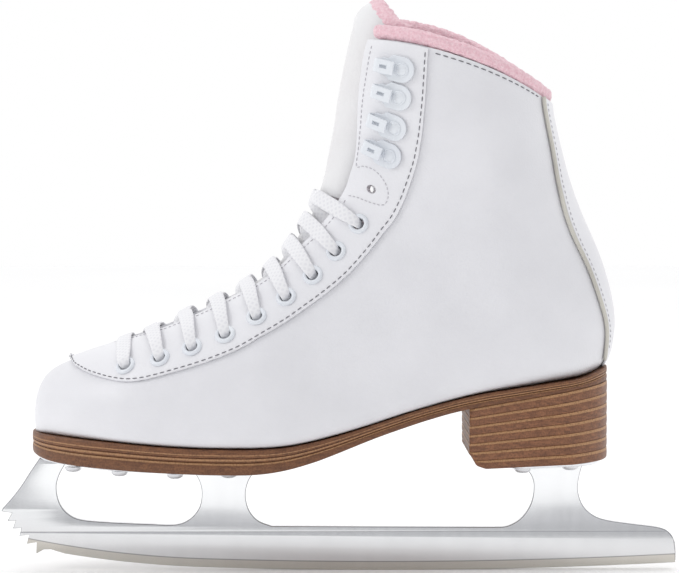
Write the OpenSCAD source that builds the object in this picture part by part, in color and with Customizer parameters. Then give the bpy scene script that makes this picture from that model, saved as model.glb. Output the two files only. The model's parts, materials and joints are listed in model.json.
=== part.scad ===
/* [Blade] */
// Thickness of the runner
runner_t = 4; // [3.4:0.1:4.6]
// Thickness of the stanchions above the runner
stanchion_t = 3.7; // [3:0.1:4.4]
// Radius of the long rocker of the running edge
rocker_r = 2438; // [2100:1:2700]
// Thickness of the two mounting plates
plate_t = 1.8; // [1.4:0.1:2]
// Width of the toe plate at the ball
toe_plate_w = 48; // [40:1:52]
// Width of the heel plate
heel_plate_w = 40; // [34:1:44]

/* [Sole and heel] */
// Number of leather lifts in the heel
lift_count = 7; // [5:1:9]
// Width of the heel at its top
heel_w = 64; // [60:1:66]
// Width of the heel at the ground side
heel_bottom_w = 56; // [50:1:58]
// Share of the sole's thickness that is the outsole
outsole_share = 0.52; // [0.4:0.02:0.6]

/* [Upper] */
// Thickness of the outer leather
leather_t = 2; // [1.6:0.1:2.2]
// Thickness of the facing and backstay overlays
overlay_t = 1.2; // [0.8:0.1:1.3]
// Thickness of the padded lining
lining_t = 2.4; // [1.8:0.1:3]
// Radius of the collar roll
collar_r = 3.1; // [2.6:0.1:3.2]
// Thickness of the tongue
tongue_t = 4.2; // [3.6:0.1:4.6]

/* [Fittings] */
// Bore of an eyelet
eyelet_bore = 4.9; // [4.6:0.1:5.1]
// Flange diameter of an eyelet
eyelet_flange = 8.9; // [8:0.1:9.4]
// Length of a hook's base plate
hook_l = 18; // [17:0.5:19]
// Width of a hook's base plate
hook_w = 11; // [9:0.5:11]
// Shank diameter of a plate screw
screw_d = 4; // [3.5:0.1:4.4]

/* [Lace] */
// Width of the flat lace
lace_w = 6.7; // [6:0.1:7]
// Thickness of the flat lace
lace_t = 1.2; // [0.9:0.1:1.3]

/* [Hidden] */

LATERAL = -1;
MEDIAL = 1;
gap = 0.35;

// Section planes of the boot from the toe to the collar. Each has its bottom or back point
// x, z, its front or top point x, z, its centre line y, its lateral and medial half widths,
// the height share of its widest place, its lower and upper roundness, and half the throat.
stations = [
    [-133.6, 61.0, -134.0, 70.0, 6.0, 0.2, 0.2, 0.40, 3.0, 2.2, 0],
    [-131.2, 60.9, -131.6, 80.8, 6.0, 12.5, 12.0, 0.38, 3.6, 2.2, 0],
    [-125.0, 60.7, -125.2, 88.6, 5.8, 20.5, 19.5, 0.36, 4.6, 2.2, 0],
    [-113.0, 60.0, -111.0, 94.6, 5.0, 30.0, 28.0, 0.34, 5.4, 2.1, 0],
    [-95.0, 58.9, -91.0, 101.2, 3.5, 38.0, 36.0, 0.32, 6.2, 2.1, 11],
    [-72.0, 57.4, -67.0, 111.8, 1.5, 42.0, 41.5, 0.30, 6.5, 2.1, 16],
    [-48.0, 56.8, -45.0, 123.0, 0.0, 43.5, 42.0, 0.29, 6.5, 2.0, 16],
    [-22.0, 57.6, -29.5, 133.8, -0.8, 41.5, 38.0, 0.29, 6.2, 1.9, 15.5],
    [5.0, 63.8, -20.5, 145.2, -1.0, 37.5, 34.0, 0.30, 6.0, 1.9, 15.5],
    [32.0, 72.3, -14.2, 154.8, -1.0, 35.0, 32.5, 0.32, 6.0, 1.9, 16],
    [60.0, 79.4, -10.6, 162.5, -0.5, 34.5, 33.5, 0.34, 5.5, 1.95, 17],
    [90.0, 84.0, -8.2, 169.0, 0.0, 34.5, 34.0, 0.38, 4.0, 2.0, 17.5],
    [113.5, 89.0, -6.4, 174.8, 0.0, 34.0, 34.0, 0.42, 2.5, 2.05, 18],
    [119.3, 105.0, -4.6, 180.0, 0.0, 33.5, 33.5, 0.45, 2.15, 2.1, 18.5],
    [118.0, 121.0, -3.2, 186.0, 0.0, 33.0, 33.0, 0.47, 2.1, 2.15, 19.5],
    [112.5, 139.0, -1.9, 193.0, 0.0, 33.5, 33.5, 0.48, 2.1, 2.2, 20.5],
    [105.0, 156.0, -0.7, 201.0, 0.0, 35.0, 35.0, 0.49, 2.1, 2.2, 21.5],
    [99.5, 171.0, 0.4, 209.5, 0.0, 36.5, 36.5, 0.50, 2.1, 2.2, 22.5],
    [95.5, 186.0, 1.8, 218.0, 0.0, 38.0, 38.0, 0.50, 2.1, 2.2, 23.5],
    [92.8, 198.0, 3.2, 226.0, 0.0, 39.0, 39.0, 0.50, 2.1, 2.2, 24.5],
    [91.9, 204.0, 4.6, 231.5, 0.0, 39.5, 39.5, 0.50, 2.1, 2.2, 25.5]];
top_t = len(stations) - 1;
throat_t = 3.6;
tongue_split_t = 11.9;
rise_lateral = 6;
rise_medial = 12;

// Angle of the facing's outer seam, and of the backstay's edge, by station.
facing_seam = [[2.6, 0], [2.7, 20], [2.85, 35], [3.3, 52], [4.1, 66], [5, 66], [6, 62.4],
    [7, 57.3], [9, 57.4], [11.5, 54.8], [13.6, 61], [15.6, 70], [17, 75], [18.6, 77.3], [20, 77.5]];
backstay_edge = [[12, 172], [12.4, 162], [12.9, 157.5], [13.6, 150.5], [14.4, 145.5],
    [15.3, 141], [16.6, 146.5], [17.8, 151], [20, 151]];

// Depths of the layers, measured outward from the face of the outer leather.
facing_in = gap;
facing_out = facing_in + overlay_t;
leather_in = -leather_t;
stiff_out = leather_in - 0.5;
stiff_in = stiff_out - 1.2;
lining_out = stiff_in - gap;
lining_in = lining_out - lining_t;
tongue_out = -4.4;

// Rows of section planes used for the shells.
toe_rows = [0, 0.35, 0.8, 1.4, 2, 2.8, throat_t];
side_rows = [throat_t, 4.4, 5.2, 6.1, 7, 8, 9, 10, 10.8, 11.4, 11.8, 12.2, 12.6, 13, 13.5, 14.2,
    15, 16, 17, 18, 19, top_t];

function mix(a, b, f) = a + (b - a) * f;
function clamp(v, lo, hi) = min(max(v, lo), hi);
function unit(v) = v / max(norm(v), 1e-9);

// A smooth curve through the rows of a list, at row number t.
function through(list, t) =
    let (last = len(list) - 1, c = clamp(t, 0, last), i = min(floor(c), last - 1), f = c - i,
        b = list[i], d = list[i + 1],
        a = i == 0 ? 2 * b - d : list[i - 1],
        e = i == last - 1 ? 2 * d - b : list[i + 2])
    0.5 * (2 * b + (d - a) * f + (2 * a - 5 * b + 4 * d - e) * f * f
        + (3 * b - a - 3 * d + e) * f * f * f);

// A smooth line through points, with n steps from each to the next.
function curve(pts, n) = [for (i = [0:(len(pts) - 1) * n]) through(pts, i / n)];

// The boot's outer face. th runs from 0 at the front centre to 180 at the back or bottom
// centre on the medial side, and is negative on the lateral side.
function face(t, th) =
    let (s = through(stations, t), side = sin(th) >= 0 ? MEDIAL : LATERAL,
        w = side == MEDIAL ? s[6] : s[5],
        co = cos(th), si = abs(sin(th)),
        r = pow(abs(co), 2 / (co >= 0 ? s[9] : s[8])),
        along = co >= 0 ? s[7] + (1 - s[7]) * r : s[7] - s[7] * r,
        rise = side == MEDIAL ? rise_medial : rise_lateral,
        k = pow(clamp((t - 16) / 4, 0, 1), 2))
    [mix(s[0], s[2], along), s[4] + side * w * pow(si, 2 / (co >= 0 ? s[9] : s[8])),
        mix(s[1], s[3], along) + k * rise * si * si];
function face_normal(t, th) =
    let (a = face(min(t + 0.03, top_t), th) - face(max(t - 0.03, 0), th),
        b = face(t, th + 1) - face(t, th - 1))
    unit(cross(a, b));
function at_depth(t, th, depth) = face(t, th) + face_normal(t, th) * depth;

// The angle where the face is a distance y from the centre line.
function angle_at(t, side, y) =
    let (s = through(stations, t))
    asin(pow(clamp(y / (side == MEDIAL ? s[6] : s[5]), 0, 1), s[9] / 2));
function gap_at(t) = through(stations, t)[10] * sqrt(clamp((t - throat_t) / 1.1, 0, 1));
function edge(t, side, extra = 0) = angle_at(t, side, gap_at(t) + extra);

// The angle where the lower part of the face is a height h above its bottom, and the one
// where it is a share of its half width from the centre line.
function angle_up(t, h) =
    let (s = through(stations, t), tall = norm([s[2] - s[0], s[3] - s[1]]) * s[7])
    180 - acos(pow(clamp(1 - h / tall, 0, 1), s[8] / 2));
function angle_in(t, share) = 180 - asin(pow(share, through(stations, t)[8] / 2));

function quad(a, b, c, d) = [[a, b, c], [a, c, d]];

// A closed shell between two depths over rows of stations. lo(t) and hi(t) are its first
// and last angles, cols its steps across, outer(t, f) and inner(t, f) its depths.
module shell(rows, cols, lo, hi, outer, inner) {
    function id(i, j, k) = (i * (cols + 1) + j) * 2 + k;
    n = len(rows) - 1;
    points = [for (t = rows) for (j = [0:cols]) let (f = j / cols, th = mix(lo(t), hi(t), f))
        each [at_depth(t, th, outer(t, f)), at_depth(t, th, inner(t, f))]];
    faces = [
        for (i = [0:n - 1]) for (j = [0:cols - 1]) each concat(
            quad(id(i, j, 0), id(i, j + 1, 0), id(i + 1, j + 1, 0), id(i + 1, j, 0)),
            quad(id(i, j, 1), id(i + 1, j, 1), id(i + 1, j + 1, 1), id(i, j + 1, 1))),
        for (i = [0:n - 1]) each concat(
            quad(id(i, 0, 0), id(i + 1, 0, 0), id(i + 1, 0, 1), id(i, 0, 1)),
            quad(id(i, cols, 0), id(i, cols, 1), id(i + 1, cols, 1), id(i + 1, cols, 0))),
        for (j = [0:cols - 1]) each concat(
            quad(id(0, j, 0), id(0, j, 1), id(0, j + 1, 1), id(0, j + 1, 0)),
            quad(id(n, j, 0), id(n, j + 1, 0), id(n, j + 1, 1), id(n, j, 1)))];
    polyhedron(points, faces);
}

// A shell in one piece round the toe, split by the throat behind it. first(t, side) and
// last(t, side) are the angles of its inner and outer edges.
module toe_wrap(front_rows, back_rows, cols, first, last, outer, inner) {
    k = len(front_rows) - 1;
    rows = concat(front_rows, [for (i = [1:len(back_rows) - 1]) back_rows[i]]);
    n = len(rows) - 1;
    front_count = (k + 1) * (2 * cols + 1);
    function id(i, s, j, d) = 2 * (i <= k
        ? i * (2 * cols + 1) + (s == MEDIAL || j == 0 ? j : cols + j)
        : front_count + (i - k - 1) * (2 * cols + 2) + (s == MEDIAL ? j : cols + 1 + j)) + d;
    function spot(t, s, j) =
        let (th = s * mix(first(t, s), last(t, s), j / cols))
        [at_depth(t, th, outer), at_depth(t, th, inner)];
    points = [
        for (i = [0:k]) each concat(
            [for (j = [0:cols]) each spot(rows[i], MEDIAL, j)],
            [for (j = [1:cols]) each spot(rows[i], LATERAL, j)]),
        for (i = [k + 1:n]) for (s = [MEDIAL, LATERAL]) for (j = [0:cols])
            each spot(rows[i], s, j)];
    function turn(q, s) = s == MEDIAL ? q : [for (f = q) [f[0], f[2], f[1]]];
    faces = [
        for (s = [MEDIAL, LATERAL]) for (i = [0:n - 1]) for (j = [0:cols - 1]) each concat(
            turn(quad(id(i, s, j, 0), id(i, s, j + 1, 0), id(i + 1, s, j + 1, 0),
                id(i + 1, s, j, 0)), s),
            turn(quad(id(i, s, j, 1), id(i + 1, s, j, 1), id(i + 1, s, j + 1, 1),
                id(i, s, j + 1, 1)), s)),
        for (s = [MEDIAL, LATERAL]) for (i = [0:n - 1]) each
            turn(quad(id(i, s, cols, 0), id(i, s, cols, 1), id(i + 1, s, cols, 1),
                id(i + 1, s, cols, 0)), s),
        for (s = [MEDIAL, LATERAL]) for (i = [k:n - 1]) each
            turn(quad(id(i, s, 0, 0), id(i + 1, s, 0, 0), id(i + 1, s, 0, 1),
                id(i, s, 0, 1)), s),
        for (s = [MEDIAL, LATERAL]) for (j = [0:cols - 1]) each concat(
            turn(quad(id(0, s, j, 0), id(0, s, j, 1), id(0, s, j + 1, 1),
                id(0, s, j + 1, 0)), s),
            turn(quad(id(n, s, j, 0), id(n, s, j + 1, 0), id(n, s, j + 1, 1),
                id(n, s, j, 1)), s))];
    polyhedron(points, faces);
}

// A closed tube swept along frames. Each frame is its centre and its two half axes.
module tube(frames, n) {
    last = len(frames) - 1;
    points = [for (f = frames) for (k = [0:n - 1])
        f[0] + f[1] * cos(k * 360 / n) + f[2] * sin(k * 360 / n)];
    faces = [
        for (i = [0:last - 1]) for (k = [0:n - 1]) let (m = (k + 1) % n) each
            quad(i * n + k, (i + 1) * n + k, (i + 1) * n + m, i * n + m),
        [for (k = [0:n - 1]) k],
        [for (k = [n - 1:-1:0]) last * n + k]];
    polyhedron(points, faces);
}

// Moves the origin to p, the z axis onto n and the x axis towards d.
module place(p, n, d) {
    z = unit(n);
    y = unit(cross(z, d));
    x = cross(y, z);
    multmatrix([[x[0], y[0], z[0], p[0]], [x[1], y[1], z[1], p[1]],
        [x[2], y[2], z[2], p[2]], [0, 0, 0, 1]])
        children();
}

// ---- Sole ----

// Room left between the sole and the upper, and between the plates and the sole.
sole_gap = 0.35;
seat_gap = 0.1;

// The sole's underside and top in side view, x and z.
sole_under = [[-135.2, 52.4], [-127, 50.2], [-116, 48.9], [-95, 47.6], [-73, 46.7],
    [-52, 46.2], [-36, 46.3], [-24, 47.8], [-12, 50.9], [-2, 54.4], [14, 60.6], [26, 64.8],
    [39, 69], [54, 73], [80, 77.7], [100, 81], [118, 84]];
sole_over = concat([[-135.2, 61]],
    [for (t = [2:0.5:12]) let (s = through(stations, t)) [s[0], s[1] - sole_gap]], [[118, 90]]);
// Half of the sole in plan on each side, x and y.
plan_lateral = [[-134.9, 6], [-133.4, -4.5], [-128, -15], [-114, -26.5], [-95, -34.2],
    [-72, -39.5], [-48, -41.6], [-22, -39.6], [5, -35], [32, -32], [60, -31.8], [84, -32],
    [100, -28.6], [112, -18.5], [117, -5.5]];
plan_medial = [[-133.4, 16], [-128, 23.5], [-114, 31.5], [-95, 38], [-72, 41.6],
    [-48, 40.6], [-22, 36], [5, 31.4], [32, 29.6], [60, 30.6], [84, 31.8], [100, 28.6],
    [112, 18.5], [117, 5.5]];
heel_breast_x = 55.5;

function height_at(list, x) = lookup(x, curve(list, 4));
function sole_split(x) = mix(height_at(sole_under, x), height_at(sole_over, x), outsole_share);

module plan_outline(inset = 0) {
    outline = curve(concat([plan_lateral[0]], [for (i = [1:len(plan_lateral) - 1]) plan_lateral[i]],
        [for (i = [len(plan_medial) - 1:-1:0]) plan_medial[i]], [plan_lateral[0]]), 3);
    mid = [-8, 0];
    reach = [126, 40];
    polygon([for (i = [0:len(outline) - 2]) let (p = outline[i], v = p - mid)
        mid + [v[0] * (1 - inset / reach[0]), v[1] * (1 - inset / reach[1])]]);
}

// Extrudes an x, z outline across the full width.
module across(w) {
    rotate([90, 0, 0])
        linear_extrude(w, center = true)
            children();
}

// A slice of the sole between two heights given as lists over x.
module sole_slice(xs, under, over, inset = 0) {
    intersection() {
        across(100)
            polygon(concat([for (x = xs) [x, under(x)]],
                [for (i = [len(xs) - 1:-1:0]) [xs[i], over(xs[i])]]));
        translate([0, 0, 30])
            linear_extrude(120)
                plan_outline(inset);
    }
}

sole_xs = [for (i = [0:38]) -136 + i * (118 + 136) / 38];
toe_screws = [[-124.5, 6.4], [-115.5, 16], [-115.5, -11], [-95, 19], [-95, -16],
    [-71, 18], [-71, -18], [-48, 11], [-48, -11]];
heel_screws = [[79.5, 13], [79.5, -13], [100.5, 11], [100.5, -11]];

module screw_holes(places, d) {
    for (p = places)
        translate([p[0], p[1], 20])
            cylinder(h = 100, d = d, $fn = 24);
}

module outsole() {
    color("saddlebrown")
        difference() {
            sole_slice(sole_xs, function(x) height_at(sole_under, x), function(x) sole_split(x));
            screw_holes(toe_screws, screw_d + 0.06);
            screw_holes(heel_screws, screw_d + 0.06);
        }
}

module midsole() {
    color("peru")
        difference() {
            sole_slice(sole_xs, function(x) sole_split(x), function(x) height_at(sole_over, x));
            screw_holes(toe_screws, screw_d + 0.06);
        }
}

// ---- Heel ----

heel_rear_x = 116.8;
heel_under = [[55.8, 53.6], [58.6, 48.8], [62.6, 47.4], [heel_rear_x, 50]];
function heel_base(x) = lookup(x, heel_under);
function lift_line(x, f) = mix(lookup(x, [[50, 46.8], [heel_rear_x, 50]]),
    height_at(sole_under, x), f);

module heel_lifts() {
    xs = [for (i = [0:6]) mix(50, 120, i / 6)];
    color("sienna")
        difference() {
            for (i = [0:lift_count - 1])
                intersection() {
                    across(100)
                        intersection() {
                            polygon(concat(
                                [for (x = xs) [x, lift_line(x, i / lift_count)]],
                                [for (j = [6:-1:0]) [xs[j], lift_line(xs[j], (i + 1) / lift_count) - 0.02]]));
                            polygon(concat([[heel_breast_x - 0.8, 90]], heel_under, [[heel_rear_x, 90]]));
                        }
                    translate([0, 0, 30])
                        linear_extrude(80)
                            plan_outline();
                    rotate([90, 0, 90])
                        linear_extrude(130)
                            polygon([[-heel_bottom_w / 2, 44], [heel_bottom_w / 2, 44],
                                [heel_w / 2, 86], [-heel_w / 2, 86]]);
                }
            screw_holes(heel_screws, screw_d + 0.06);
        }
}

// ---- Blade, plates and screws ----

runner_top = 18.8;
toe_plate_x = [-132.6, -35.5];
heel_plate_x = [73.6, 112.9];
function toe_plate_z(x) = height_at(sole_under, x) - plate_t;
function heel_plate_z(x) = heel_base(x) - plate_t;

// The running edge: the long rocker, tighter ahead of the ball.
function running_edge(x) =
    rocker_r - sqrt(rocker_r * rocker_r - pow(x - 22, 2)) + 0.0009 * pow(max(-60 - x, 0), 2);

// The toe picks from the drag pick up to the highest, each a valley and a tip.
pick_tips = [[-132.8, 7.4], [-136.9, 11.7], [-140.2, 15.1], [-143, 18.4], [-145.4, 21.7], [-148, 26]];
pick_valleys = [[-132.6, 12.4], [-135.9, 15.7], [-139.3, 18.6], [-141.8, 21.9], [-143.4, 25.3]];
front_edge = curve([[-147.4, 27.4], [-142.8, 32.6], [-139, 37.6], [-135.4, 43.2],
    [-131.2, toe_plate_z(-131.2)]], 2);
front_window = curve([[-119.6, toe_plate_z(-119.6)], [-122.6, 42], [-123.9, 36.5], [-122.6, 29.8],
    [-119, 25], [-113, 22.2], [-100, 21], [-84, 20.3], [-72, 20], [-65.6, 22.4], [-61.4, 27.4],
    [-60.2, 33.5], [-61.2, 39], [-64.4, toe_plate_z(-64.4)]], 3);
rear_of_ball = curve([[-36.4, toe_plate_z(-36.4)], [-39.8, 39], [-41, 33], [-39.6, 26.6],
    [-35.6, 21.8], [-29.5, 19.3]], 3);
heel_front = curve([[68, runner_top], [74, 19.3], [79.8, 22.6], [84, 28.6], [85.5, 35.5],
    [84.6, 41], [80.6, heel_plate_z(80.6)]], 3);
heel_rear = curve([[107.2, heel_plate_z(107.2)], [105.2, 40], [105, 34], [107.2, 28.2],
    [111.6, 24], [117.5, 21.8], [128, 20.2], [140, 18.6], [144.8, 16.6], [147.3, 12.8],
    [147.9, 8], [147.9, 4.2]], 3);

module blade_outline() {
    difference() {
        polygon(concat(
            [for (i = [0:4]) each [pick_tips[i], pick_valleys[i]]], [pick_tips[5]],
            front_edge,
            [for (x = [-128:4:-40]) [x, toe_plate_z(x)]],
            rear_of_ball,
            heel_front,
            heel_rear,
            [for (i = [0:22]) let (x = 147.9 - i * 12.2) [x, running_edge(x)]],
            [[-126.4, 9.3], [-129.6, 9.2], [-131.4, 8.2]]));
        polygon(front_window);
    }
}

module blade() {
    color("silver") {
        across(stanchion_t)
            blade_outline();
        across(runner_t)
            intersection() {
                blade_outline();
                translate([-160, -1])
                    square([320, 18]);
            }
    }
}

module toe_plate() {
    xs = concat([toe_plate_x[0]],
        [for (x = sole_xs) if (x > toe_plate_x[0] && x < toe_plate_x[1]) x], [toe_plate_x[1]]);
    color("gainsboro")
        difference() {
            intersection() {
                across(80)
                    polygon(concat([for (x = xs) [x, toe_plate_z(x)]],
                        [for (i = [len(xs) - 1:-1:0])
                            [xs[i], height_at(sole_under, xs[i]) - seat_gap]]));
                linear_extrude(80)
                    hull() {
                        translate([toe_plate_x[0] + 9, 3])
                            circle(9, $fn = 32);
                        translate([-92, 2])
                            circle(toe_plate_w / 2, $fn = 32);
                        translate([-70, 0])
                            circle(toe_plate_w / 2, $fn = 32);
                        translate([toe_plate_x[1] - 13, 0])
                            scale([0.75, 1])
                                circle(17.3, $fn = 32);
                    }
            }
            screw_holes(toe_screws, screw_d + 0.4);
        }
}

module heel_plate() {
    color("gainsboro")
        difference() {
            intersection() {
                across(80)
                    polygon([[heel_plate_x[0], heel_plate_z(heel_plate_x[0])],
                        [heel_plate_x[1], heel_plate_z(heel_plate_x[1])],
                        [heel_plate_x[1], heel_base(heel_plate_x[1]) - 0.02],
                        [heel_plate_x[0], heel_base(heel_plate_x[0]) - 0.02]]);
                linear_extrude(80)
                    hull() {
                        for (s = [-1, 1]) {
                            translate([heel_plate_x[0] + 8, s * (heel_plate_w / 2 - 8)])
                                circle(8, $fn = 32);
                            translate([heel_plate_x[1] - 11, s * (heel_plate_w / 2 - 11)])
                                circle(11, $fn = 32);
                        }
                    }
            }
            screw_holes(heel_screws, screw_d + 0.4);
        }
}

// A pan-head screw that points up, its head's bearing face at z = 0.
module plate_screw(shank) {
    rotate_extrude($fn = 24)
        polygon([[0, -2.3], [1.6, -2.2], [2.9, -1.7], [3.6, -0.9], [3.6, 0],
            [screw_d / 2, 0], [screw_d / 2, shank - 2], [0.4, shank], [0, shank]]);
}

module toe_plate_screws() {
    color("silver")
        for (p = toe_screws)
            translate([p[0], p[1], toe_plate_z(p[0]) - 0.4])
                plate_screw(10);
}

module heel_plate_screws() {
    color("silver")
        for (p = heel_screws)
            translate([p[0], p[1], heel_plate_z(p[0]) - 0.2])
                plate_screw(17);
}

// ---- Inside the sole ----

board_z = 4.2;
board_t = 1.8;
footbed_z = board_z + board_t + 0.2;
footbed_t = 3.2;
function bottom_z(x) = height_at(sole_over, x) + sole_gap;

module layer(x0, x1, z0, t, inset) {
    xs = [for (i = [0:16]) mix(x0, x1, i / 16)];
    sole_slice(xs, function(x) bottom_z(x) + z0, function(x) bottom_z(x) + z0 + t, inset);
}

module shank() {
    color("slategray")
        intersection() {
            layer(-42, 62, 0.2, 1.5, 6);
            translate([-42, -7, 0])
                cube([104, 14, 140]);
        }
}

module insole_board() {
    color("tan")
        layer(-121, 101, board_z, board_t, 9.5);
}

module footbed() {
    color("lightpink")
        layer(-120, 98, footbed_z, footbed_t, 9);
}

// ---- Upper and its layers ----

eyelet_places = [[4.05, 52.4], [4.68, 53.6], [5.26, 52.6], [5.88, 51], [6.56, 47],
    [7.38, 45.8], [8.31, 46.4], [9.36, 45.8], [10.79, 45.1]];
punched_hole = [12.81, 44.6];
hook_places = [[14.97, 51], [16.29, 55.2], [17.55, 58.4], [18.63, 59.4]];
rivet_back = 4.2;

// Children at a place on the face, z outward and x towards the throat.
module on_face(p, side) {
    place(face(p[0], side * p[1]), face_normal(p[0], side * p[1]),
        face(p[0], side * (p[1] - 4)) - face(p[0], side * p[1]))
        children();
}

module fitting_holes() {
    for (side = [LATERAL, MEDIAL]) {
        for (p = eyelet_places)
            on_face(p, side)
                cylinder(h = 12, d = eyelet_bore + 1.6, center = true, $fn = 24);
        on_face(punched_hole, side)
            cylinder(h = 12, d = 4.2, center = true, $fn = 24);
        for (p = hook_places)
            on_face(p, side)
                translate([-rivet_back, 0, 0])
                    cylinder(h = 14, d = 3.1, center = true, $fn = 24);
    }
}

// The lasting margin turns under the board. Behind the heel both sides meet at a seam.
function margin(t, side) =
    let (w = through(stations, t)[side == MEDIAL ? 6 : 5],
        y = mix(0.5 * w, 0.15, clamp((t - 8.5) / 3, 0, 1)))
    angle_in(t, clamp(y / w, 0, 0.6));

module upper() {
    color("white")
        difference() {
            toe_wrap(toe_rows, side_rows, 13,
                function(t, s) t > throat_t ? edge(t, s) : 0, function(t, s) margin(t, s),
                0, leather_in);
            fitting_holes();
        }
}

module facing() {
    color("ghostwhite")
        difference() {
            toe_wrap([2.66, 2.75, 2.9, 3.2, throat_t],
                [for (t = side_rows) min(t, top_t - 0.05)], 4,
                function(t, s) t > throat_t ? edge(t, s) : 0,
                function(t, s) lookup(t, facing_seam), facing_out, facing_in);
            fitting_holes();
        }
}

module backstay() {
    color("white")
        shell([for (i = [0:14]) mix(12.15, top_t - 0.05, i / 14)], 8,
            function(t) lookup(t, backstay_edge) + 2.4,
            function(t) 357.6 - lookup(t, backstay_edge),
            function(t, f) facing_in + 0.9, function(t, f) facing_in);
}

module backstay_piping() {
    color("tan")
        for (side = [LATERAL, MEDIAL])
            tube([for (i = [0:14])
                let (t = mix(12.3, top_t - 0.05, i / 14), th = side * lookup(t, backstay_edge),
                    n = face_normal(t, th),
                    a = unit(face(min(t + 0.1, top_t), th) - face(t - 0.1, th)))
                [face(t, th) + n * 1.15, unit(cross(n, a)) * 0.75, n * 0.75]], 6);
}

module toe_box() {
    color("wheat")
        shell([0.8, 1.2, 1.7, 2.3, 2.9, 3.3], 12,
            function(t) -angle_up(t, 6.5), function(t) angle_up(t, 6.5),
            function(t, f) stiff_out, function(t, f) stiff_in);
}

module heel_counter() {
    color("wheat")
        shell([12.2, 12.6, 13, 13.5, 14.2, 14.6], 16,
            function(t) 100, function(t) 260,
            function(t, f) stiff_out, function(t, f) stiff_in);
}

module ankle_pad(side) {
    color("lightyellow")
        shell([14.9, 16, 17, 18, 19, 19.4], 7,
            function(t) side == MEDIAL ? 84 : -172, function(t) side == MEDIAL ? 172 : -84,
            function(t, f) stiff_out, function(t, f) stiff_in);
}

// The lining starts behind the facing and ends above the footbed, or at the back seam.
function lining_start(t) = t < throat_t ? 1.5 : max(lookup(t, facing_seam) + 3,
    mix(1.5, 60, clamp((t - throat_t) / 0.5, 0, 1)));
function lining_end(t) = mix(angle_up(t, mix(11, 14, clamp((t - 9) / 2, 0, 1))), 179.6,
    clamp(t - 12, 0, 1));

module lining(side) {
    rows = concat([1.7, 2.3, 3, throat_t], [for (i = [1:len(side_rows) - 2]) side_rows[i]], [19.9]);
    color("pink")
        shell(rows, 8,
            function(t) side == MEDIAL ? lining_start(t) : -lining_end(t),
            function(t) side == MEDIAL ? lining_end(t) : -lining_start(t),
            function(t, f) lining_out, function(t, f) lining_in);
}

module collar() {
    n = 30;
    color("pink")
        tube([for (i = [0:n])
            let (th = mix(edge(top_t, MEDIAL) + 1, 359 - edge(top_t, LATERAL), i / n),
                up = unit(face(top_t, th) - face(top_t - 0.2, th)), m = face_normal(top_t, th))
            [face(top_t, th) + up * (collar_r + 0.15) - m * 3, m * 3.6, up * collar_r]], 8);
}

// ---- Tongue ----

module tongue_lower() {
    function half(t) = t > 9 ? gap_at(t) + mix(7, 3.5, clamp((t - 9) / 1, 0, 1)) : gap_at(t) + 7;
    function lift(t, f) = let (y = abs(2 * f - 1) * half(t) / max(gap_at(t), 1))
        mix(-1.5, tongue_out - 0.2, clamp((y - 0.35) / 0.5, 0, 1));
    color("whitesmoke")
        shell([for (i = [0:13]) mix(throat_t + 0.5, tongue_split_t, i / 13)], 12,
            function(t) -angle_at(t, LATERAL, half(t)), function(t) angle_at(t, MEDIAL, half(t)),
            function(t, f) lift(t, f), function(t, f) lift(t, f) - tongue_t);
}

// Rows of the upper tongue: front x and z, how deep and how wide its curve is, and how far
// its top drops towards the wings.
tongue_rows = [[-6.0, 174.6, 10, 15.2, 4], [-5.0, 180.5, 11, 15.8, 4], [-3.6, 187.5, 12, 16.8, 4],
    [-2.0, 196, 13, 17.8, 4], [-0.9, 204, 14, 18.8, 4.5], [0.6, 213, 15, 19.2, 5],
    [2.6, 223, 16, 18.8, 5.5], [4.4, 231, 16, 18.2, 6], [5.8, 237, 15.8, 18, 7],
    [7, 242, 15, 18, 8.5], [9.8, 246, 13, 18, 10], [14.5, 249.2, 11.2, 18, 11.5]];
wing_angle = 112;

function wing_point(r, f, inset) =
    let (a = f * wing_angle, deep = r[2] - inset, wide = r[3] - inset)
    [r[0] + inset + deep * (1 - cos(a)), wide * sin(a), r[1] - r[4] * pow(sin(a * 90 / wing_angle), 2)];

module tongue_layer(from, to) {
    rows = tongue_rows;
    n = len(rows) - 1;
    cols = 14;
    function id(i, j, k) = (i * (cols + 1) + j) * 2 + k;
    points = [for (r = rows) for (j = [0:cols]) let (f = 2 * j / cols - 1)
        each [wing_point(r, f, from), wing_point(r, f, to)]];
    faces = [
        for (i = [0:n - 1]) for (j = [0:cols - 1]) each concat(
            quad(id(i, j, 0), id(i, j + 1, 0), id(i + 1, j + 1, 0), id(i + 1, j, 0)),
            quad(id(i, j, 1), id(i + 1, j, 1), id(i + 1, j + 1, 1), id(i, j + 1, 1))),
        for (i = [0:n - 1]) each concat(
            quad(id(i, 0, 0), id(i + 1, 0, 0), id(i + 1, 0, 1), id(i, 0, 1)),
            quad(id(i, cols, 0), id(i, cols, 1), id(i + 1, cols, 1), id(i + 1, cols, 0))),
        for (j = [0:cols - 1]) each concat(
            quad(id(0, j, 0), id(0, j, 1), id(0, j + 1, 1), id(0, j + 1, 0)),
            quad(id(n, j, 0), id(n, j + 1, 0), id(n, j + 1, 1), id(n, j, 1)))];
    polyhedron(points, faces);
}

module tongue_upper() {
    color("white")
        tongue_layer(0, 1.6);
}

module tongue_upper_lining() {
    color("pink")
        tongue_layer(1.65, tongue_t);
}

// ---- Eyelets and hooks ----

module eyelets(side) {
    seat = facing_out + 0.35;
    r = eyelet_bore / 2;
    color("white")
        for (p = eyelet_places)
            on_face(p, side)
                rotate_extrude($fn = 32)
                    polygon([[r, -3.4], [3.6, -3.4], [3.6, -3], [r + 0.5, -3], [r + 0.5, seat],
                        [eyelet_flange / 2, seat], [eyelet_flange / 2, seat + 0.4],
                        [eyelet_flange / 2 - 0.6, seat + 0.8], [r + 0.3, seat + 0.8], [r, seat + 0.4]]);
}

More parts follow.
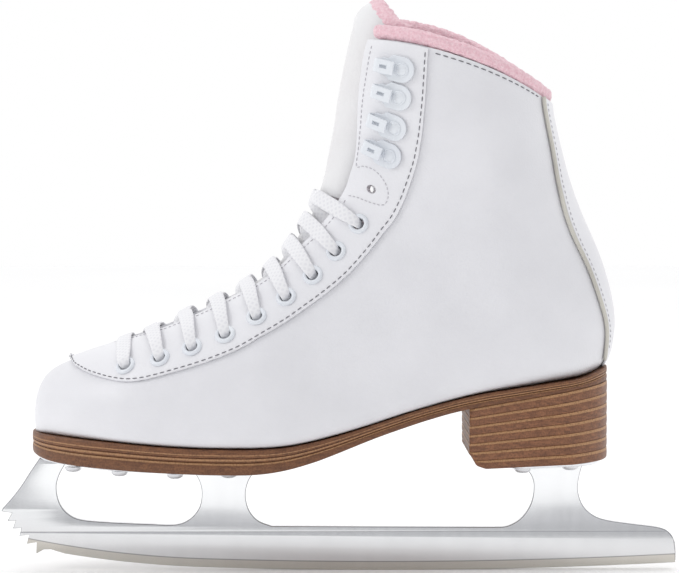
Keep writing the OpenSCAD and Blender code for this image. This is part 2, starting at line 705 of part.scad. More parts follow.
module hooks(side) {
    arm_r = 2.3;
    plate = 1;
    front = hook_l - hook_w / 2 - rivet_back - arm_r;
    color("white")
        for (p = hook_places)
            on_face(p, side)
                translate([0, 0, facing_out + 0.3]) {
                    difference() {
                        linear_extrude(plate)
                            union() {
                                translate([-rivet_back, 0])
                                    circle(d = hook_w, $fn = 32);
                                translate([-rivet_back, -hook_w / 2])
                                    square([6, hook_w]);
                                translate([0, -3.6])
                                    square([front, 7.2]);
                            }
                        translate([-rivet_back, 0, -1])
                            cylinder(h = 3, d = 3.1, $fn = 24);
                    }
                    across(5.8)
                        union() {
                            difference() {
                                translate([front, arm_r])
                                    circle(arm_r, $fn = 32);
                                translate([front, arm_r])
                                    circle(arm_r - plate, $fn = 32);
                                translate([front - 10, -1])
                                    square([10, 10]);
                            }
                            translate([front - 8, 2 * arm_r - plate])
                                square([8, plate]);
                            translate([front - 2, 0])
                                square([2, plate]);
                        }
                }
}

module hook_rivets(side) {
    top = facing_out + 0.3 + 1;
    color("white")
        for (p = hook_places)
            on_face(p, side)
                translate([-rivet_back, 0, 0])
                    rotate_extrude($fn = 24)
                        polygon([[0, -3.4], [2.6, -3.4], [2.6, -2.9], [1.5, -2.9], [1.5, top],
                            [3.2, top], [3.0, top + 0.7], [2.2, top + 1.1], [0, top + 1.3]]);
}

// ---- Lace ----

// The lace over one span, from inside eyelet a on one side, under the facing, across the
// throat and down into eyelet b on the other. Each step is its place, its depth and its
// share of the full width. Places 0 to 1 are under the facing, to 2 across the throat, and
// to 3 over the other facing.
span_steps = [[0, -2.4, 0.62], [0.3, -3.7, 0.8], [0.75, -3.6, 0.95], [1.1, -2.8, 1], [1.3, -0.3, 1],
    [1.5, 0.5, 1], [1.75, 2.1, 1], [2.1, 2.6, 1], [2.6, 3.5, 0.85], [2.93, 2.6, 0.68], [3, 0.2, 0.62]];
bar_steps = [[-1, 0.2, 0.62], [-0.985, 2.6, 0.68], [-0.92, 3.4, 0.85], [-0.7, 2.5, 1],
    [-0.3, 2.4, 1], [0, 2.4, 1], [0.3, 2.4, 1], [0.7, 2.5, 1], [0.92, 3.4, 0.85],
    [0.985, 2.6, 0.68], [1, 0.2, 0.62]];
over_lift = 1.25;
last_eyelet = len(eyelet_places) - 1;

// A frame of the lace at a place on the face, with its run ahead and its sense of travel.
function lace_frame(t, th, depth, share, wide, dir) =
    [face(t, th) + face_normal(t, th) * depth, wide * lace_w / 2 * share,
        unit(cross(dir, wide)) * lace_t / 2];

function span(k, side) =
    let (a = eyelet_places[k], b = eyelet_places[k + 1], h0 = side * a[1], h1 = -side * b[1],
        ahead = unit(face(b[0], h1) - face(a[0], h0)),
        over = (k % 2 == 0) == (side == MEDIAL) ? over_lift : 0,
        whole = a[1] + b[1],
        ways = [[0, 0], [1, (a[1] - edge(a[0], side)) / whole],
            [2, 1 - (b[1] - edge(b[0], -side)) / whole], [3, 1]])
    [for (e = span_steps)
        let (f = lookup(e[0], ways), t = mix(a[0], b[0], f), th = mix(h0, h1, f),
            n = face_normal(t, th), dt = (b[0] - a[0]) / 100, dh = (h1 - h0) / 100,
            dir = f == 0 || f == 1 ? -n : unit(face(t + dt, th + dh) - face(t - dt, th - dh)))
        lace_frame(t, th, e[1] + over * pow(sin(f * 180), 4), e[2],
            -side * unit(cross(ahead, n)), dir)];

function bar() =
    let (p = eyelet_places[0])
    [for (e = bar_steps)
        let (th = e[0] * p[1], n = face_normal(p[0], th),
            dir = abs(e[0]) == 1 ? -sign(e[0]) * n : unit(face(p[0], th + 1) - face(p[0], th - 1)))
        lace_frame(p[0], th, e[1], e[2], unit(cross([0, 1, 0], n)), dir)];

// Where the lace leaves the inside of the top eyelet on one side.
function lace_exit(side) =
    let (p = eyelet_places[last_eyelet], f = span(last_eyelet - 1, -side)[len(span_steps) - 1])
    [at_depth(p[0], side * p[1], -2.8), f[1], f[2]];

function backward(frames) = [for (i = [len(frames) - 1:-1:0])
    [frames[i][0], frames[i][1], -frames[i][2]]];

module lace_laced() {
    up_medial = [for (k = [0:last_eyelet - 1]) each span(k, k % 2 == 0 ? MEDIAL : LATERAL)];
    up_lateral = [for (k = [0:last_eyelet - 1]) each span(k, k % 2 == 0 ? LATERAL : MEDIAL)];
    color("white")
        tube(concat(backward(concat(up_lateral, [lace_exit(LATERAL)])), bar(),
            up_medial, [lace_exit(MEDIAL)]), 6);
}

// The free ends drop inside the boot and lie on the footbed, each folded into a hank.
lace_drop_lateral = [[15, -20, 147], [18, -18.5, 141], [20, -19, 128], [21, -20.5, 113],
    [21, -21.5, 100], [22, -22, 90], [28, -21.5, 86.5],
    [40, -18.4, 88.2], [47, -17.5, 89.9]];
lace_drop_medial = [[15, 20, 147], [18, 18.5, 141], [20, 19, 128], [21, 20.5, 115],
    [22, 21.5, 104], [24, 22, 97], [30, 21.5, 94.5],
    [40, 18.4, 95.5], [47, 17.5, 97.1]];
hank_l = 108;
hank_w = 33;
hank_h = 6.9;
hank_mid = [31, 0, 82.6];
hank_slope = -13.5;
hank_pitch = 7.2;
aglet_l = 20;
aglet_d = 3;

module lace_end(side, drop) {
    exit = lace_exit(side);
    pts = curve(concat([exit[0]], drop), 1);
    last = len(pts) - 1;
    color("white")
        tube(concat([exit], [for (i = [1:last])
            let (dir = unit(pts[min(i + 1, last)] - pts[i - 1]), f = i / last,
                wide = unit(mix(unit(exit[1]), side * [0.2, 0, 1], min(f * 3, 1))
                    - dir * (dir * mix(unit(exit[1]), side * [0.2, 0, 1], min(f * 3, 1)))))
            [pts[i], wide * lace_w / 2, unit(cross(dir, wide)) * lace_t / 2]]), 8);
}

module hank(level) {
    color("white")
        translate(hank_mid + [0, 0, level * hank_pitch])
            rotate([0, hank_slope, 0])
                linear_extrude(hank_h)
                    union() {
                        square([hank_l - hank_w, hank_w], center = true);
                        for (s = [-1, 1])
                            translate([s * (hank_l - hank_w) / 2, 0])
                                circle(d = hank_w, $fn = 48);
                    }
}

module aglet(p) {
    color("whitesmoke")
        translate(p)
            rotate([0, 90 + hank_slope, 0])
                cylinder(h = aglet_l, d = aglet_d, center = true, $fn = 24);
}

blade();
toe_plate();
heel_plate();
toe_plate_screws();
heel_plate_screws();
outsole();
midsole();
heel_lifts();
shank();
insole_board();
footbed();
upper();
facing();
backstay();
backstay_piping();
toe_box();
heel_counter();
ankle_pad(LATERAL);  // ankle_pad_lateral
ankle_pad(MEDIAL);  // ankle_pad_medial
lining(LATERAL);  // lining_lateral
lining(MEDIAL);  // lining_medial
collar();
tongue_lower();
tongue_upper();
tongue_upper_lining();
eyelets(LATERAL);  // eyelets_lateral
eyelets(MEDIAL);  // eyelets_medial
hooks(LATERAL);  // hooks_lateral
hooks(MEDIAL);  // hooks_medial
hook_rivets(LATERAL);  // hook_rivets_lateral
hook_rivets(MEDIAL);  // hook_rivets_medial
lace_laced();
lace_end(LATERAL, lace_drop_lateral);  // lace_end_lateral
lace_end(MEDIAL, lace_drop_medial);  // lace_end_medial
hank(0);  // lace_hank_lateral
hank(1);  // lace_hank_medial
aglet([30, 19.5, 84.5]);  // aglet_lateral
aglet([30, -6, 98.6]);  // aglet_medial
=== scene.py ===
"""Looks of a left figure skate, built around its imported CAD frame."""
import json
import math

import bmesh
import bpy
import numpy as np
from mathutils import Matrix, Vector
from mathutils.geometry import tessellate_polygon

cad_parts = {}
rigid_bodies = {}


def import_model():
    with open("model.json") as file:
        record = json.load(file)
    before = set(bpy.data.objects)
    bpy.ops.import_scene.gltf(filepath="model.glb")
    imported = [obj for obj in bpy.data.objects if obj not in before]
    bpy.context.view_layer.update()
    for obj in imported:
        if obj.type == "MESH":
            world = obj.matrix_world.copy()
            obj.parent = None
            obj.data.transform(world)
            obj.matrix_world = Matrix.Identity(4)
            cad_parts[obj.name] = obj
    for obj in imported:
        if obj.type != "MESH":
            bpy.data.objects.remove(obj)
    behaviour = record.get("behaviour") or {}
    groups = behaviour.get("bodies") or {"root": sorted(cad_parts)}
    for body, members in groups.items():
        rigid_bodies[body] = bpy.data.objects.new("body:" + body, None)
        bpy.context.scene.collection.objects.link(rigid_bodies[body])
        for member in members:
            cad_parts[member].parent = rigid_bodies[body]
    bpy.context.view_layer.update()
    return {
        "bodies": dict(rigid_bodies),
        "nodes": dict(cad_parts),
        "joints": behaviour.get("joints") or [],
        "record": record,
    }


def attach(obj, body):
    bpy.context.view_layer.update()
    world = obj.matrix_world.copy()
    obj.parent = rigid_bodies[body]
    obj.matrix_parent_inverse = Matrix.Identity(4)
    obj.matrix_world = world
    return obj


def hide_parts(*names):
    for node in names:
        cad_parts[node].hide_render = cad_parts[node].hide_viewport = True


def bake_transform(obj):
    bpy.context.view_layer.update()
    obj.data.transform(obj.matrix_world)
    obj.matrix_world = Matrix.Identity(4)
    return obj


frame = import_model()

MM = 0.001
LATERAL, MEDIAL = -1, 1
SIDES = {LATERAL: "lateral", MEDIAL: "medial"}
BOOT, TONGUE_TOP = "boot", "tongue_top"
# The running edge: its radius, its lowest point, and how it curves up to the toe.
ROCKER_R, ROCKER_X = 2438.0, 22.0
TOE_RISE_X, TOE_RISE = -60.0, 0.0009
# The blade's colours follow the height over the running edge, up to 50 mm.
HEIGHT_TO_RAMP = 20.0


# ---- Camera ----

CAMERA_PLACE = (-0.010, -1.100, 0.170)
CAMERA_AIM = (0.0002, 0, 0.1245)
SENSOR_WIDTH, LENS = 36, 133.3


def add_camera():
    """A long lens a little above the ankle, square to the lateral side."""
    camera = bpy.data.objects.new("camera", bpy.data.cameras.new("camera"))
    bpy.context.scene.collection.objects.link(camera)
    camera.location = CAMERA_PLACE
    aim = Vector(CAMERA_AIM)
    camera.rotation_euler = (aim - camera.location).to_track_quat("-Z", "Y").to_euler()
    camera.data.sensor_width = SENSOR_WIDTH
    camera.data.lens = LENS
    bpy.context.scene.camera = camera


add_camera()


# ---- Curves and the boot's surface, in millimetres, as in the CAD source ----

def through(rows, t):
    """A smooth curve through rows at row numbers t. The first row is a smooth start."""
    rows = np.asarray(rows, float)
    t = np.clip(np.asarray(t, float), 0, len(rows) - 1)
    i = np.minimum(t.astype(int), len(rows) - 2)
    f = (t - i)[..., None]
    b, d = rows[i], rows[i + 1]
    a = np.where((i == 0)[..., None], 2 * b - d, rows[np.maximum(i - 1, 0)])
    e = np.where((i == len(rows) - 2)[..., None], 2 * d - b,
                 rows[np.minimum(i + 2, len(rows) - 1)])
    return 0.5 * (2 * b + (d - a) * f + (2 * a - 5 * b + 4 * d - e) * f ** 2
                  + (3 * b - a - 3 * d + e) * f ** 3)


def curve(points, steps):
    """The smooth line through points, with steps from each to the next."""
    return through(points, np.linspace(0, len(points) - 1, (len(points) - 1) * steps + 1))


def mix(a, b, f):
    return a + (b - a) * f


def smoothstep(x, low, high):
    f = np.clip((x - low) / (high - low), 0, 1)
    return f * f * (3 - 2 * f)


def unit(v):
    return v / np.maximum(np.linalg.norm(v, axis=-1, keepdims=True), 1e-9)


def lengths(points):
    """Distance along a line of points from its first one."""
    return np.concatenate([[0], np.cumsum(np.linalg.norm(np.diff(points, axis=0), axis=1))])


def at_places(places, length, values):
    """Rows of values that belong to the distances in length, read at other distances."""
    return np.stack([np.interp(places, length, column) for column in values.T], -1)


def bell(spread):
    """A bell curve of weights that reaches three spreads either way."""
    return np.exp(-0.5 * (np.arange(-3 * spread, 3 * spread + 1) / spread) ** 2)


# Section planes from the toe to the collar: bottom or back point x, z, front or top point
# x, z, centre line y, half widths, height share of the widest place, lower and upper
# roundness, and half the throat.
STATIONS = np.array([
    [-133.6, 61.0, -134.0, 70.0, 6.0, 0.0, 0.0, 0.40, 3.0, 2.2, 0],
    [-131.2, 60.9, -131.6, 80.8, 6.0, 12.5, 12.0, 0.38, 3.6, 2.2, 0],
    [-125.0, 60.7, -125.2, 88.6, 5.8, 20.5, 19.5, 0.36, 4.6, 2.2, 0],
    [-113.0, 60.0, -111.0, 94.6, 5.0, 30.0, 28.0, 0.34, 5.4, 2.1, 0],
    [-95.0, 58.9, -91.0, 101.2, 3.5, 38.0, 36.0, 0.32, 6.2, 2.1, 11],
    [-72.0, 57.4, -67.0, 111.8, 1.5, 42.0, 41.5, 0.30, 6.5, 2.1, 16],
    [-48.0, 56.8, -45.0, 123.0, 0.0, 43.5, 42.0, 0.29, 6.5, 2.0, 16],
    [-22.0, 57.6, -29.5, 133.8, -0.8, 41.5, 38.0, 0.29, 6.2, 1.9, 15.5],
    [5.0, 63.8, -20.5, 145.2, -1.0, 37.5, 34.0, 0.30, 6.0, 1.9, 15.5],
    [32.0, 72.3, -14.2, 154.8, -1.0, 35.0, 32.5, 0.32, 6.0, 1.9, 16],
    [60.0, 79.4, -10.6, 162.5, -0.5, 34.5, 33.5, 0.34, 5.5, 1.95, 17],
    [90.0, 84.0, -8.2, 169.0, 0.0, 34.5, 34.0, 0.38, 4.0, 2.0, 17.5],
    [113.5, 89.0, -6.4, 174.8, 0.0, 34.0, 34.0, 0.42, 2.5, 2.05, 18],
    [119.3, 105.0, -4.6, 180.0, 0.0, 33.5, 33.5, 0.45, 2.15, 2.1, 18.5],
    [118.0, 121.0, -3.2, 186.0, 0.0, 33.0, 33.0, 0.47, 2.1, 2.15, 19.5],
    [112.5, 139.0, -1.9, 193.0, 0.0, 33.5, 33.5, 0.48, 2.1, 2.2, 20.5],
    [105.0, 156.0, -0.7, 201.0, 0.0, 35.0, 35.0, 0.49, 2.1, 2.2, 21.5],
    [99.5, 171.0, 0.4, 209.5, 0.0, 36.5, 36.5, 0.50, 2.1, 2.2, 22.5],
    [95.5, 186.0, 1.8, 218.0, 0.0, 38.0, 38.0, 0.50, 2.1, 2.2, 23.5],
    [92.8, 198.0, 3.2, 226.0, 0.0, 39.0, 39.0, 0.50, 2.1, 2.2, 24.5],
    [91.9, 204.0, 4.6, 231.5, 0.0, 39.5, 39.5, 0.50, 2.1, 2.2, 25.5]])
TOP_T = len(STATIONS) - 1
# The overlays end just under the top row, and the throat starts over the toes.
EDGE_T, THROAT_T = 19.95, 3.6
# The top edge is higher at the sides than at the back, from row RISE_T on.
RISE = {LATERAL: 6, MEDIAL: 12}
RISE_T = 16
LATERAL_WIDTH, MEDIAL_WIDTH, HEIGHT_SHARE, LOWER_ROUND, UPPER_ROUND, THROAT = 5, 6, 7, 8, 9, 10
PER_STATION = 50
# The wall meets the sole more squarely than in the CAD, whose chords cut that corner.
SQUARER = 1.55
STATIONS[1:12, LOWER_ROUND] *= SQUARER

FACING_SEAM = np.array([[2.6, 0], [2.615, 8], [2.7, 22], [2.85, 35], [3.3, 52], [4.1, 66], [5, 66],
                        [6, 62.4], [7, 57.3], [9, 57.4], [11.5, 54.8], [13.6, 61], [15.6, 70],
                        [17, 75], [18.6, 77.3], [20, 77.5]])
BACKSTAY_EDGE = np.array([[12, 172], [12.4, 162], [12.9, 157.5], [13.6, 150.5], [14.4, 145.5],
                          [15.3, 141], [16.6, 146.5], [17.8, 151], [20, 151]])


def blurred(values, spread):
    """values smoothed along their rows, and turned over past the ends."""
    kernel = bell(spread)
    kernel /= kernel.sum()
    reach = len(kernel) // 2
    head = 2 * values[0] - values[reach:0:-1]
    tail = 2 * values[-1] - values[-2:-reach - 2:-1]
    padded = np.concatenate([head, values, tail])
    return np.apply_along_axis(lambda c: np.convolve(c, kernel, "valid"), 0, padded)


def dense_stations():
    """The stations at a fine step, with a rounded toe and no kinks in their curvature."""
    t = np.linspace(0, TOP_T, TOP_T * PER_STATION + 1)
    mirrored = STATIONS[1].copy()
    for k in (LATERAL_WIDTH, MEDIAL_WIDTH):
        mirrored[k] = 2 * STATIONS[0][k] - STATIONS[1][k]
    dense = through(np.vstack([mirrored, STATIONS]), t + 1)
    return t, blurred(dense, PER_STATION // 6)


DENSE_T, DENSE = dense_stations()


def station(t):
    """The numbers of a section plane at row t, in the order of STATIONS."""
    return [np.interp(t, DENSE_T, column) for column in DENSE.T]


def half_width(t, side):
    return station(t)[MEDIAL_WIDTH if side == MEDIAL else LATERAL_WIDTH]


def face(t, th):
    """The boot's outer face. th is 0 at the front, 180 at the back, and + is medial."""
    t, th = np.broadcast_arrays(np.asarray(t, float), np.asarray(th, float))
    bx, bz, fx, fz, yc, wl, wm, c, nl, nu, _ = station(t)
    a = np.radians(np.abs(th))
    side = np.where(th >= 0, MEDIAL, LATERAL)
    w = np.where(side > 0, wm, wl)
    co, si = np.cos(a), np.abs(np.sin(a))
    n = np.where(co >= 0, nu, nl)
    r = np.abs(co) ** (2 / n)
    along = np.where(co >= 0, c + (1 - c) * r, c - c * r)
    rise = np.where(side > 0, RISE[MEDIAL], RISE[LATERAL])
    rise = rise * np.clip((t - RISE_T) / (TOP_T - RISE_T), 0, 1) ** 2
    z = mix(bz, fz, along) + rise * si ** 2
    return np.stack([mix(bx, fx, along), yc + side * w * si ** (2 / n), z], -1)


def face_normal(t, th):
    t, th = np.asarray(t, float), np.asarray(th, float)
    near = 0.03
    a = face(np.minimum(t + near, TOP_T), th) - face(np.maximum(t - near, 0), th)
    b = face(t, th + 1) - face(t, th - 1)
    return unit(np.cross(a, b))


def at_depth(t, th, depth):
    """Points off the outer face. A depth below zero is inside the boot."""
    return face(t, th) + face_normal(t, th) * np.asarray(depth, float)[..., None]


def on_surface(t, th, depth):
    """Points off the outer face, and the directions away from it."""
    return at_depth(t, th, depth), face_normal(t, th)


def angle_at(t, side, y):
    """The angle where the face is y from the centre line."""
    power = station(t)[UPPER_ROUND] / 2
    return np.degrees(np.arcsin(np.clip(y / half_width(t, side), 0, 1) ** power))


def gap_at(t):
    """Half the width of the throat, which opens as a round end from THROAT_T on."""
    return station(t)[THROAT] * np.sqrt(np.clip((t - THROAT_T) / 1.1, 0, 1))


def edge(t, side, extra=0):
    """The angle of the throat's edge on one side."""
    return angle_at(t, side, gap_at(t) + extra)


def angle_up(t, height):
    """The angle where the lower wall is at a height above the section's lowest point."""
    s = station(t)
    tall = np.hypot(s[2] - s[0], s[3] - s[1]) * s[HEIGHT_SHARE]
    return 180 - np.degrees(np.arccos(np.clip(1 - height / tall, 0, 1) ** (s[LOWER_ROUND] / 2)))


def angle_in(t, share):
    """The angle where the lower wall is at a share of the half width."""
    return 180 - np.degrees(np.arcsin(share ** (station(t)[LOWER_ROUND] / 2)))


def softened(points):
    """Angle by row number along a smooth line through points."""
    dense = curve(points, 24)
    return lambda t: np.interp(t, dense[:, 0], dense[:, 1])


SEAM_START = FACING_SEAM[0, 0]
seam_angle = softened(FACING_SEAM)
backstay_angle = softened(BACKSTAY_EDGE)


def arc_lengths(grid):
    """Distance along each row of a grid of points from its first column."""
    steps = np.linalg.norm(np.diff(grid, axis=1), axis=2)
    return np.concatenate([np.zeros((len(grid), 1)), np.cumsum(steps, axis=1)], axis=1)


def resampled(points, step, *more):
    """points, and the arrays beside them, at an even spacing of about step."""
    length = lengths(points)
    places = np.linspace(0, length[-1], max(2, int(round(length[-1] / step)) + 1))
    return [at_places(places, length, values) for values in (points, *more)]


def even_loop(loop, step):
    """A closed outline at an even spacing, without its first point again at the end."""
    return resampled(np.vstack([loop, loop[:1]]), step)[0][:-1]


# ---- Mesh building ----

class Build:
    """Collects points in millimetres, faces and texture places, and makes one piece."""

    def __init__(self):
        self.points, self.faces, self.uvs, self.count = [], [], [], 0

    def add(self, points, faces, uvs=None):
        points = np.asarray(points, float).reshape(-1, 3)
        self.points.append(points)
        self.uvs.append(np.zeros((len(points), 2)) if uvs is None
                        else np.asarray(uvs, float).reshape(-1, 2))
        self.faces.extend([[i + self.count for i in f] for f in faces])
        self.count += len(points)

    def grid(self, points, uvs=None, flip=False, around=False, caps=False, keep=None):
        """Quads between rows of points. around closes each row, caps closes both ends."""
        rows, cols = points.shape[:2]
        faces = []
        for i in range(rows - 1):
            for j in range(cols if around else cols - 1):
                k = (j + 1) % cols
                if keep is None or keep[i, j]:
                    quad = [i * cols + j, i * cols + k, (i + 1) * cols + k, (i + 1) * cols + j]
                    faces.append(quad[::-1] if flip else quad)
        if caps:
            first, last = list(range(cols)), list(range((rows - 1) * cols, rows * cols))
            faces += [first, last[::-1]] if flip else [first[::-1], last]
        self.add(points, faces, uvs)

    def piece(self, name, look, body=BOOT, weld=0.0, angle=180, outward=True):
        """The finished object: welded, smooth up to angle, with its look and body."""
        mesh = bpy.data.meshes.new(name)
        mesh.from_pydata((np.concatenate(self.points) * MM).tolist(), [], self.faces)
        layer = mesh.uv_layers.new(name="UVMap")
        index = np.zeros(len(mesh.loops), int)
        mesh.loops.foreach_get("vertex_index", index)
        layer.data.foreach_set("uv", np.concatenate(self.uvs)[index].ravel())
        work = bmesh.new()
        work.from_mesh(mesh)
        if weld:
            bmesh.ops.remove_doubles(work, verts=work.verts, dist=weld * MM)
            bmesh.ops.dissolve_degenerate(work, edges=work.edges, dist=1e-7)
        if outward:
            bmesh.ops.recalc_face_normals(work, faces=work.faces)
        for f in work.faces:
            f.smooth = True
        if angle < 180:
            limit = math.radians(angle)
            for e in work.edges:
                e.smooth = len(e.link_faces) != 2 or e.calc_face_angle(0) < limit
        work.to_mesh(mesh)
        work.free()
        piece = bpy.data.objects.new(name, mesh)
        bpy.context.scene.collection.objects.link(piece)
        mesh.materials.append(look)
        if body:
            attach(piece, body)
        return piece

    def closed_layer(self, outer, inner, flip=False, columns=(0, -1)):
        """Two grids face to face, joined at both ends and along the named columns."""
        self.grid(outer, flip=flip)
        self.grid(inner, flip=not flip)
        for row, turn in ((0, not flip), (-1, flip)):
            self.grid(np.stack([outer[row], inner[row]]), flip=turn)
        for column in columns:
            turn = flip if column == 0 else not flip
            self.grid(np.stack([outer[:, column], inner[:, column]]), flip=turn)


def thicken(piece, thickness, rounding):
    """Turns a sheet into a layer under its outer face, with rounded cut edges."""
    solid = piece.modifiers.new("thickness", "SOLIDIFY")
    solid.thickness = thickness * MM
    solid.offset = -1
    bevel = piece.modifiers.new("cut_edge", "BEVEL")
    bevel.width = rounding * MM
    bevel.segments = 3
    bevel.limit_method = "ANGLE"
    bevel.angle_limit = math.radians(55)
    return piece


def stands_for(piece, slot, *nodes):
    """Hides the CAD parts that a piece replaces, and returns the piece. slot is not used."""
    if nodes:
        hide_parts(*nodes)
    return piece


def inset(outline, amount):
    """A closed outline moved to its left by amount, with its sharp corners held back."""
    before, after = np.roll(outline, 1, 0), np.roll(outline, -1, 0)
    a, b = unit(outline - before), unit(after - outline)
    left = unit(np.stack([-(a + b)[:, 1], (a + b)[:, 0]], 1))
    lean = np.sum(left * np.stack([-a[:, 1], a[:, 0]], 1), 1)
    return outline + left * (amount / np.maximum(lean, 0.5))[:, None]


def prism(build, outlines, half, rounding, place):
    """A flat part between -half and half with rounded edges. The first outline runs
    anticlockwise, the holes run clockwise, and place turns u, v, w into x, y, z."""
    steps = [(half - rounding, 0)] + [
        (half - rounding + rounding * math.sin(a), rounding * (1 - math.cos(a)))
        for a in (math.radians(30), math.radians(60), math.radians(90))]
    levels = [(-h, i) for h, i in steps[::-1]] + steps
    tops = []
    for outline in outlines:
        rings = [(inset(outline, i), h) for h, i in levels]
        points = [place(np.column_stack([r, np.full(len(r), h)])) for r, h in rings]
        build.grid(np.array(points), around=True)
        tops.append(rings[-1][0])
    flat = [[Vector((p[0], p[1], 0)) for p in ring] for ring in tops]
    triangles = tessellate_polygon(flat)
    corners = np.concatenate(tops)
    for h, turn in ((half, 1), (-half, -1)):
        faces = []
        for a, b, c in triangles:
            p, q, r = corners[a], corners[b], corners[c]
            area = (q[0] - p[0]) * (r[1] - p[1]) - (q[1] - p[1]) * (r[0] - p[0])
            if abs(area) > 1e-9:
                faces.append([a, b, c] if area * turn > 0 else [c, b, a])
        build.add(place(np.column_stack([corners, np.full(len(corners), h)])), faces)


def lathe(build, profile, origin, x, y, z, count=40):
    """Turns a profile of radius and height about z at origin."""
    profile = np.asarray(profile, float)
    a = np.linspace(0, 2 * np.pi, count, endpoint=False)
    ring = np.cos(a)[:, None] * x + np.sin(a)[:, None] * y
    points = origin + profile[:, None, :1] * ring[None] + profile[:, None, 1:] * z
    build.grid(points, around=True)


def swept(wides, thins, section):
    """A section's points from its centre, for each pair of half axes along a line."""
    return wides[:, None] * section[None, :, :1] + thins[:, None] * section[None, :, 1:2]


def sweep(build, centres, wides, thins, section):
    """A closed section swept along a line. wides and thins are its half axes."""
    points = centres[:, None] + swept(wides, thins, section)
    across = section[:, 0] * np.linalg.norm(wides, axis=1)[:, None]
    uvs = np.stack([np.broadcast_to(lengths(centres)[:, None], across.shape), across], -1)
    build.grid(points, uvs, around=True, caps=True)


def rounded_section(count, power_wide, power_thin):
    """A closed section of half width and half height 1. Lower powers are squarer."""
    a = np.linspace(0, 2 * np.pi, count, endpoint=False)
    return np.stack([np.sign(np.cos(a)) * np.abs(np.cos(a)) ** power_wide,
                     np.sign(np.sin(a)) * np.abs(np.sin(a)) ** power_thin], 1)


def rough_field(rows, cols, spread, seed):
    """A smooth random field between about -1 and 1 on a grid."""
    field = np.random.default_rng(seed).normal(size=(rows, cols))
    for axis in (0, 1):
        field = np.apply_along_axis(lambda c: np.convolve(c, bell(spread), "same"), axis, field)
    return np.clip(field / field.std() / 2, -1, 1)


# ---- Finishes ----

class Look:
    """A procedural material: a Principled shader and the nodes that vary it."""

    def __init__(self, name, colour, rough, metal=0.0):
        self.material = bpy.data.materials.new(name)
        self.material.use_nodes = True
        self.tree = self.material.node_tree
        self.shader = self.tree.nodes["Principled BSDF"]
        self.shader.inputs["Base Color"].default_value = (*colour, 1)
        self.shader.inputs["Roughness"].default_value = rough
        self.shader.inputs["Metallic"].default_value = metal
        self.places = self.tree.nodes.new("ShaderNodeTexCoord")

    def link(self, source, socket):
        self.tree.links.new(source, socket)

    def axes(self, source):
        """The X, Y and Z outputs of a texture place."""
        split = self.node("SeparateXYZ")
        self.link(self.places.outputs[source], split.inputs["Vector"])
        return split.outputs

    def math(self, kind, *values):
        """A maths node over sockets and plain numbers."""
        node = self.node("Math", operation=kind)
        for value, socket in zip(values, node.inputs):
            if isinstance(value, float):
                socket.default_value = value
            else:
                self.link(value, socket)
        return node.outputs["Value"]

    def set(self, **inputs):
        for key, value in inputs.items():
            self.shader.inputs[key.replace("_", " ")].default_value = value
        return self

    def node(self, kind, **values):
        node = self.tree.nodes.new("ShaderNode" + kind)
        for key, value in values.items():
            if key in node.inputs:
                node.inputs[key].default_value = value
            else:
                setattr(node, key, value)
        return node

    def stretched(self, source, scale):
        mapping = self.node("Mapping")
        mapping.inputs["Scale"].default_value = scale
        self.link(self.places.outputs[source], mapping.inputs["Vector"])
        return mapping.outputs["Vector"]

    def noise(self, scale, detail=4.0, source="Object", stretch=(1, 1, 1)):
        node = self.node("TexNoise", Scale=scale, Detail=detail)
        self.link(self.stretched(source, stretch), node.inputs["Vector"])
        return node.outputs["Fac"]

    def cells(self, scale):
        node = self.node("TexVoronoi", Scale=scale)
        self.link(self.places.outputs["Object"], node.inputs["Vector"])
        return node.outputs["Distance"]

    def waves(self, scale, source, stretch, distortion=0.0, direction="X"):
        node = self.node("TexWave", Scale=scale, Distortion=distortion)
        node.bands_direction = direction
        self.link(self.stretched(source, stretch), node.inputs["Vector"])
        return node.outputs["Fac"]

    def ramp(self, value, *stops):
        node = self.node("ValToRGB")
        elements = node.color_ramp.elements
        for i, (place, colour) in enumerate(stops):
            element = elements[i] if i < 2 else elements.new(place)
            element.position, element.color = place, (*colour, 1)
        self.link(value, node.inputs["Fac"])
        return node.outputs["Color"]

    def coloured(self, value, *stops):
        self.link(self.ramp(value, *stops), self.shader.inputs["Base Color"])

    def multiplied(self, first, second, share=1.0):
        node = self.node("Mix", data_type="RGBA", blend_type="MULTIPLY")
        node.inputs["Factor"].default_value = share
        self.link(first, node.inputs["A"])
        self.link(second, node.inputs["B"])
        return node.outputs["Result"]

    def roughness(self, value, low, high):
        node = self.node("MapRange")
        node.inputs["To Min"].default_value = low
        node.inputs["To Max"].default_value = high
        self.link(value, node.inputs["Value"])
        self.link(node.outputs["Result"], self.shader.inputs["Roughness"])

    def bumped(self, value, height, strength=1.0):
        node = self.node("Bump")
        node.inputs["Strength"].default_value = strength
        node.inputs["Distance"].default_value = height * MM
        self.link(value, node.inputs["Height"])
        normal = self.shader.inputs["Normal"]
        if normal.is_linked:
            self.link(normal.links[0].from_socket, node.inputs["Normal"])
        self.link(node.outputs["Normal"], normal)


def leather(name, light, dark, rough, grain=0.10):
    look = Look(name, light, rough)
    look.coloured(look.noise(35, 3), (0.35, dark), (0.65, light))
    look.roughness(look.noise(220, 2), rough - 0.06, rough + 0.08)
    look.bumped(look.noise(45, 2), 0.5, 0.5)
    look.bumped(look.cells(1100), grain, 0.55)
    return look.set(Coat_Weight=0.12, Coat_Roughness=0.35).material


def fleece_look(name, light, deep):
    look = Look(name, light, 0.95)
    look.coloured(look.noise(900, 5), (0.25, deep), (0.7, light))
    look.bumped(look.noise(1500, 4), 0.6)
    return look.set(Sheen_Weight=0.6, Sheen_Roughness=0.4, Sheen_Tint=(1, 0.92, 0.95, 1)).material


def fabric(name, light, dark, scale=700):
    look = Look(name, light, 0.9)
    look.coloured(look.noise(scale, 4), (0.3, dark), (0.7, light))
    look.bumped(look.noise(scale, 3), 0.3)
    return look.material


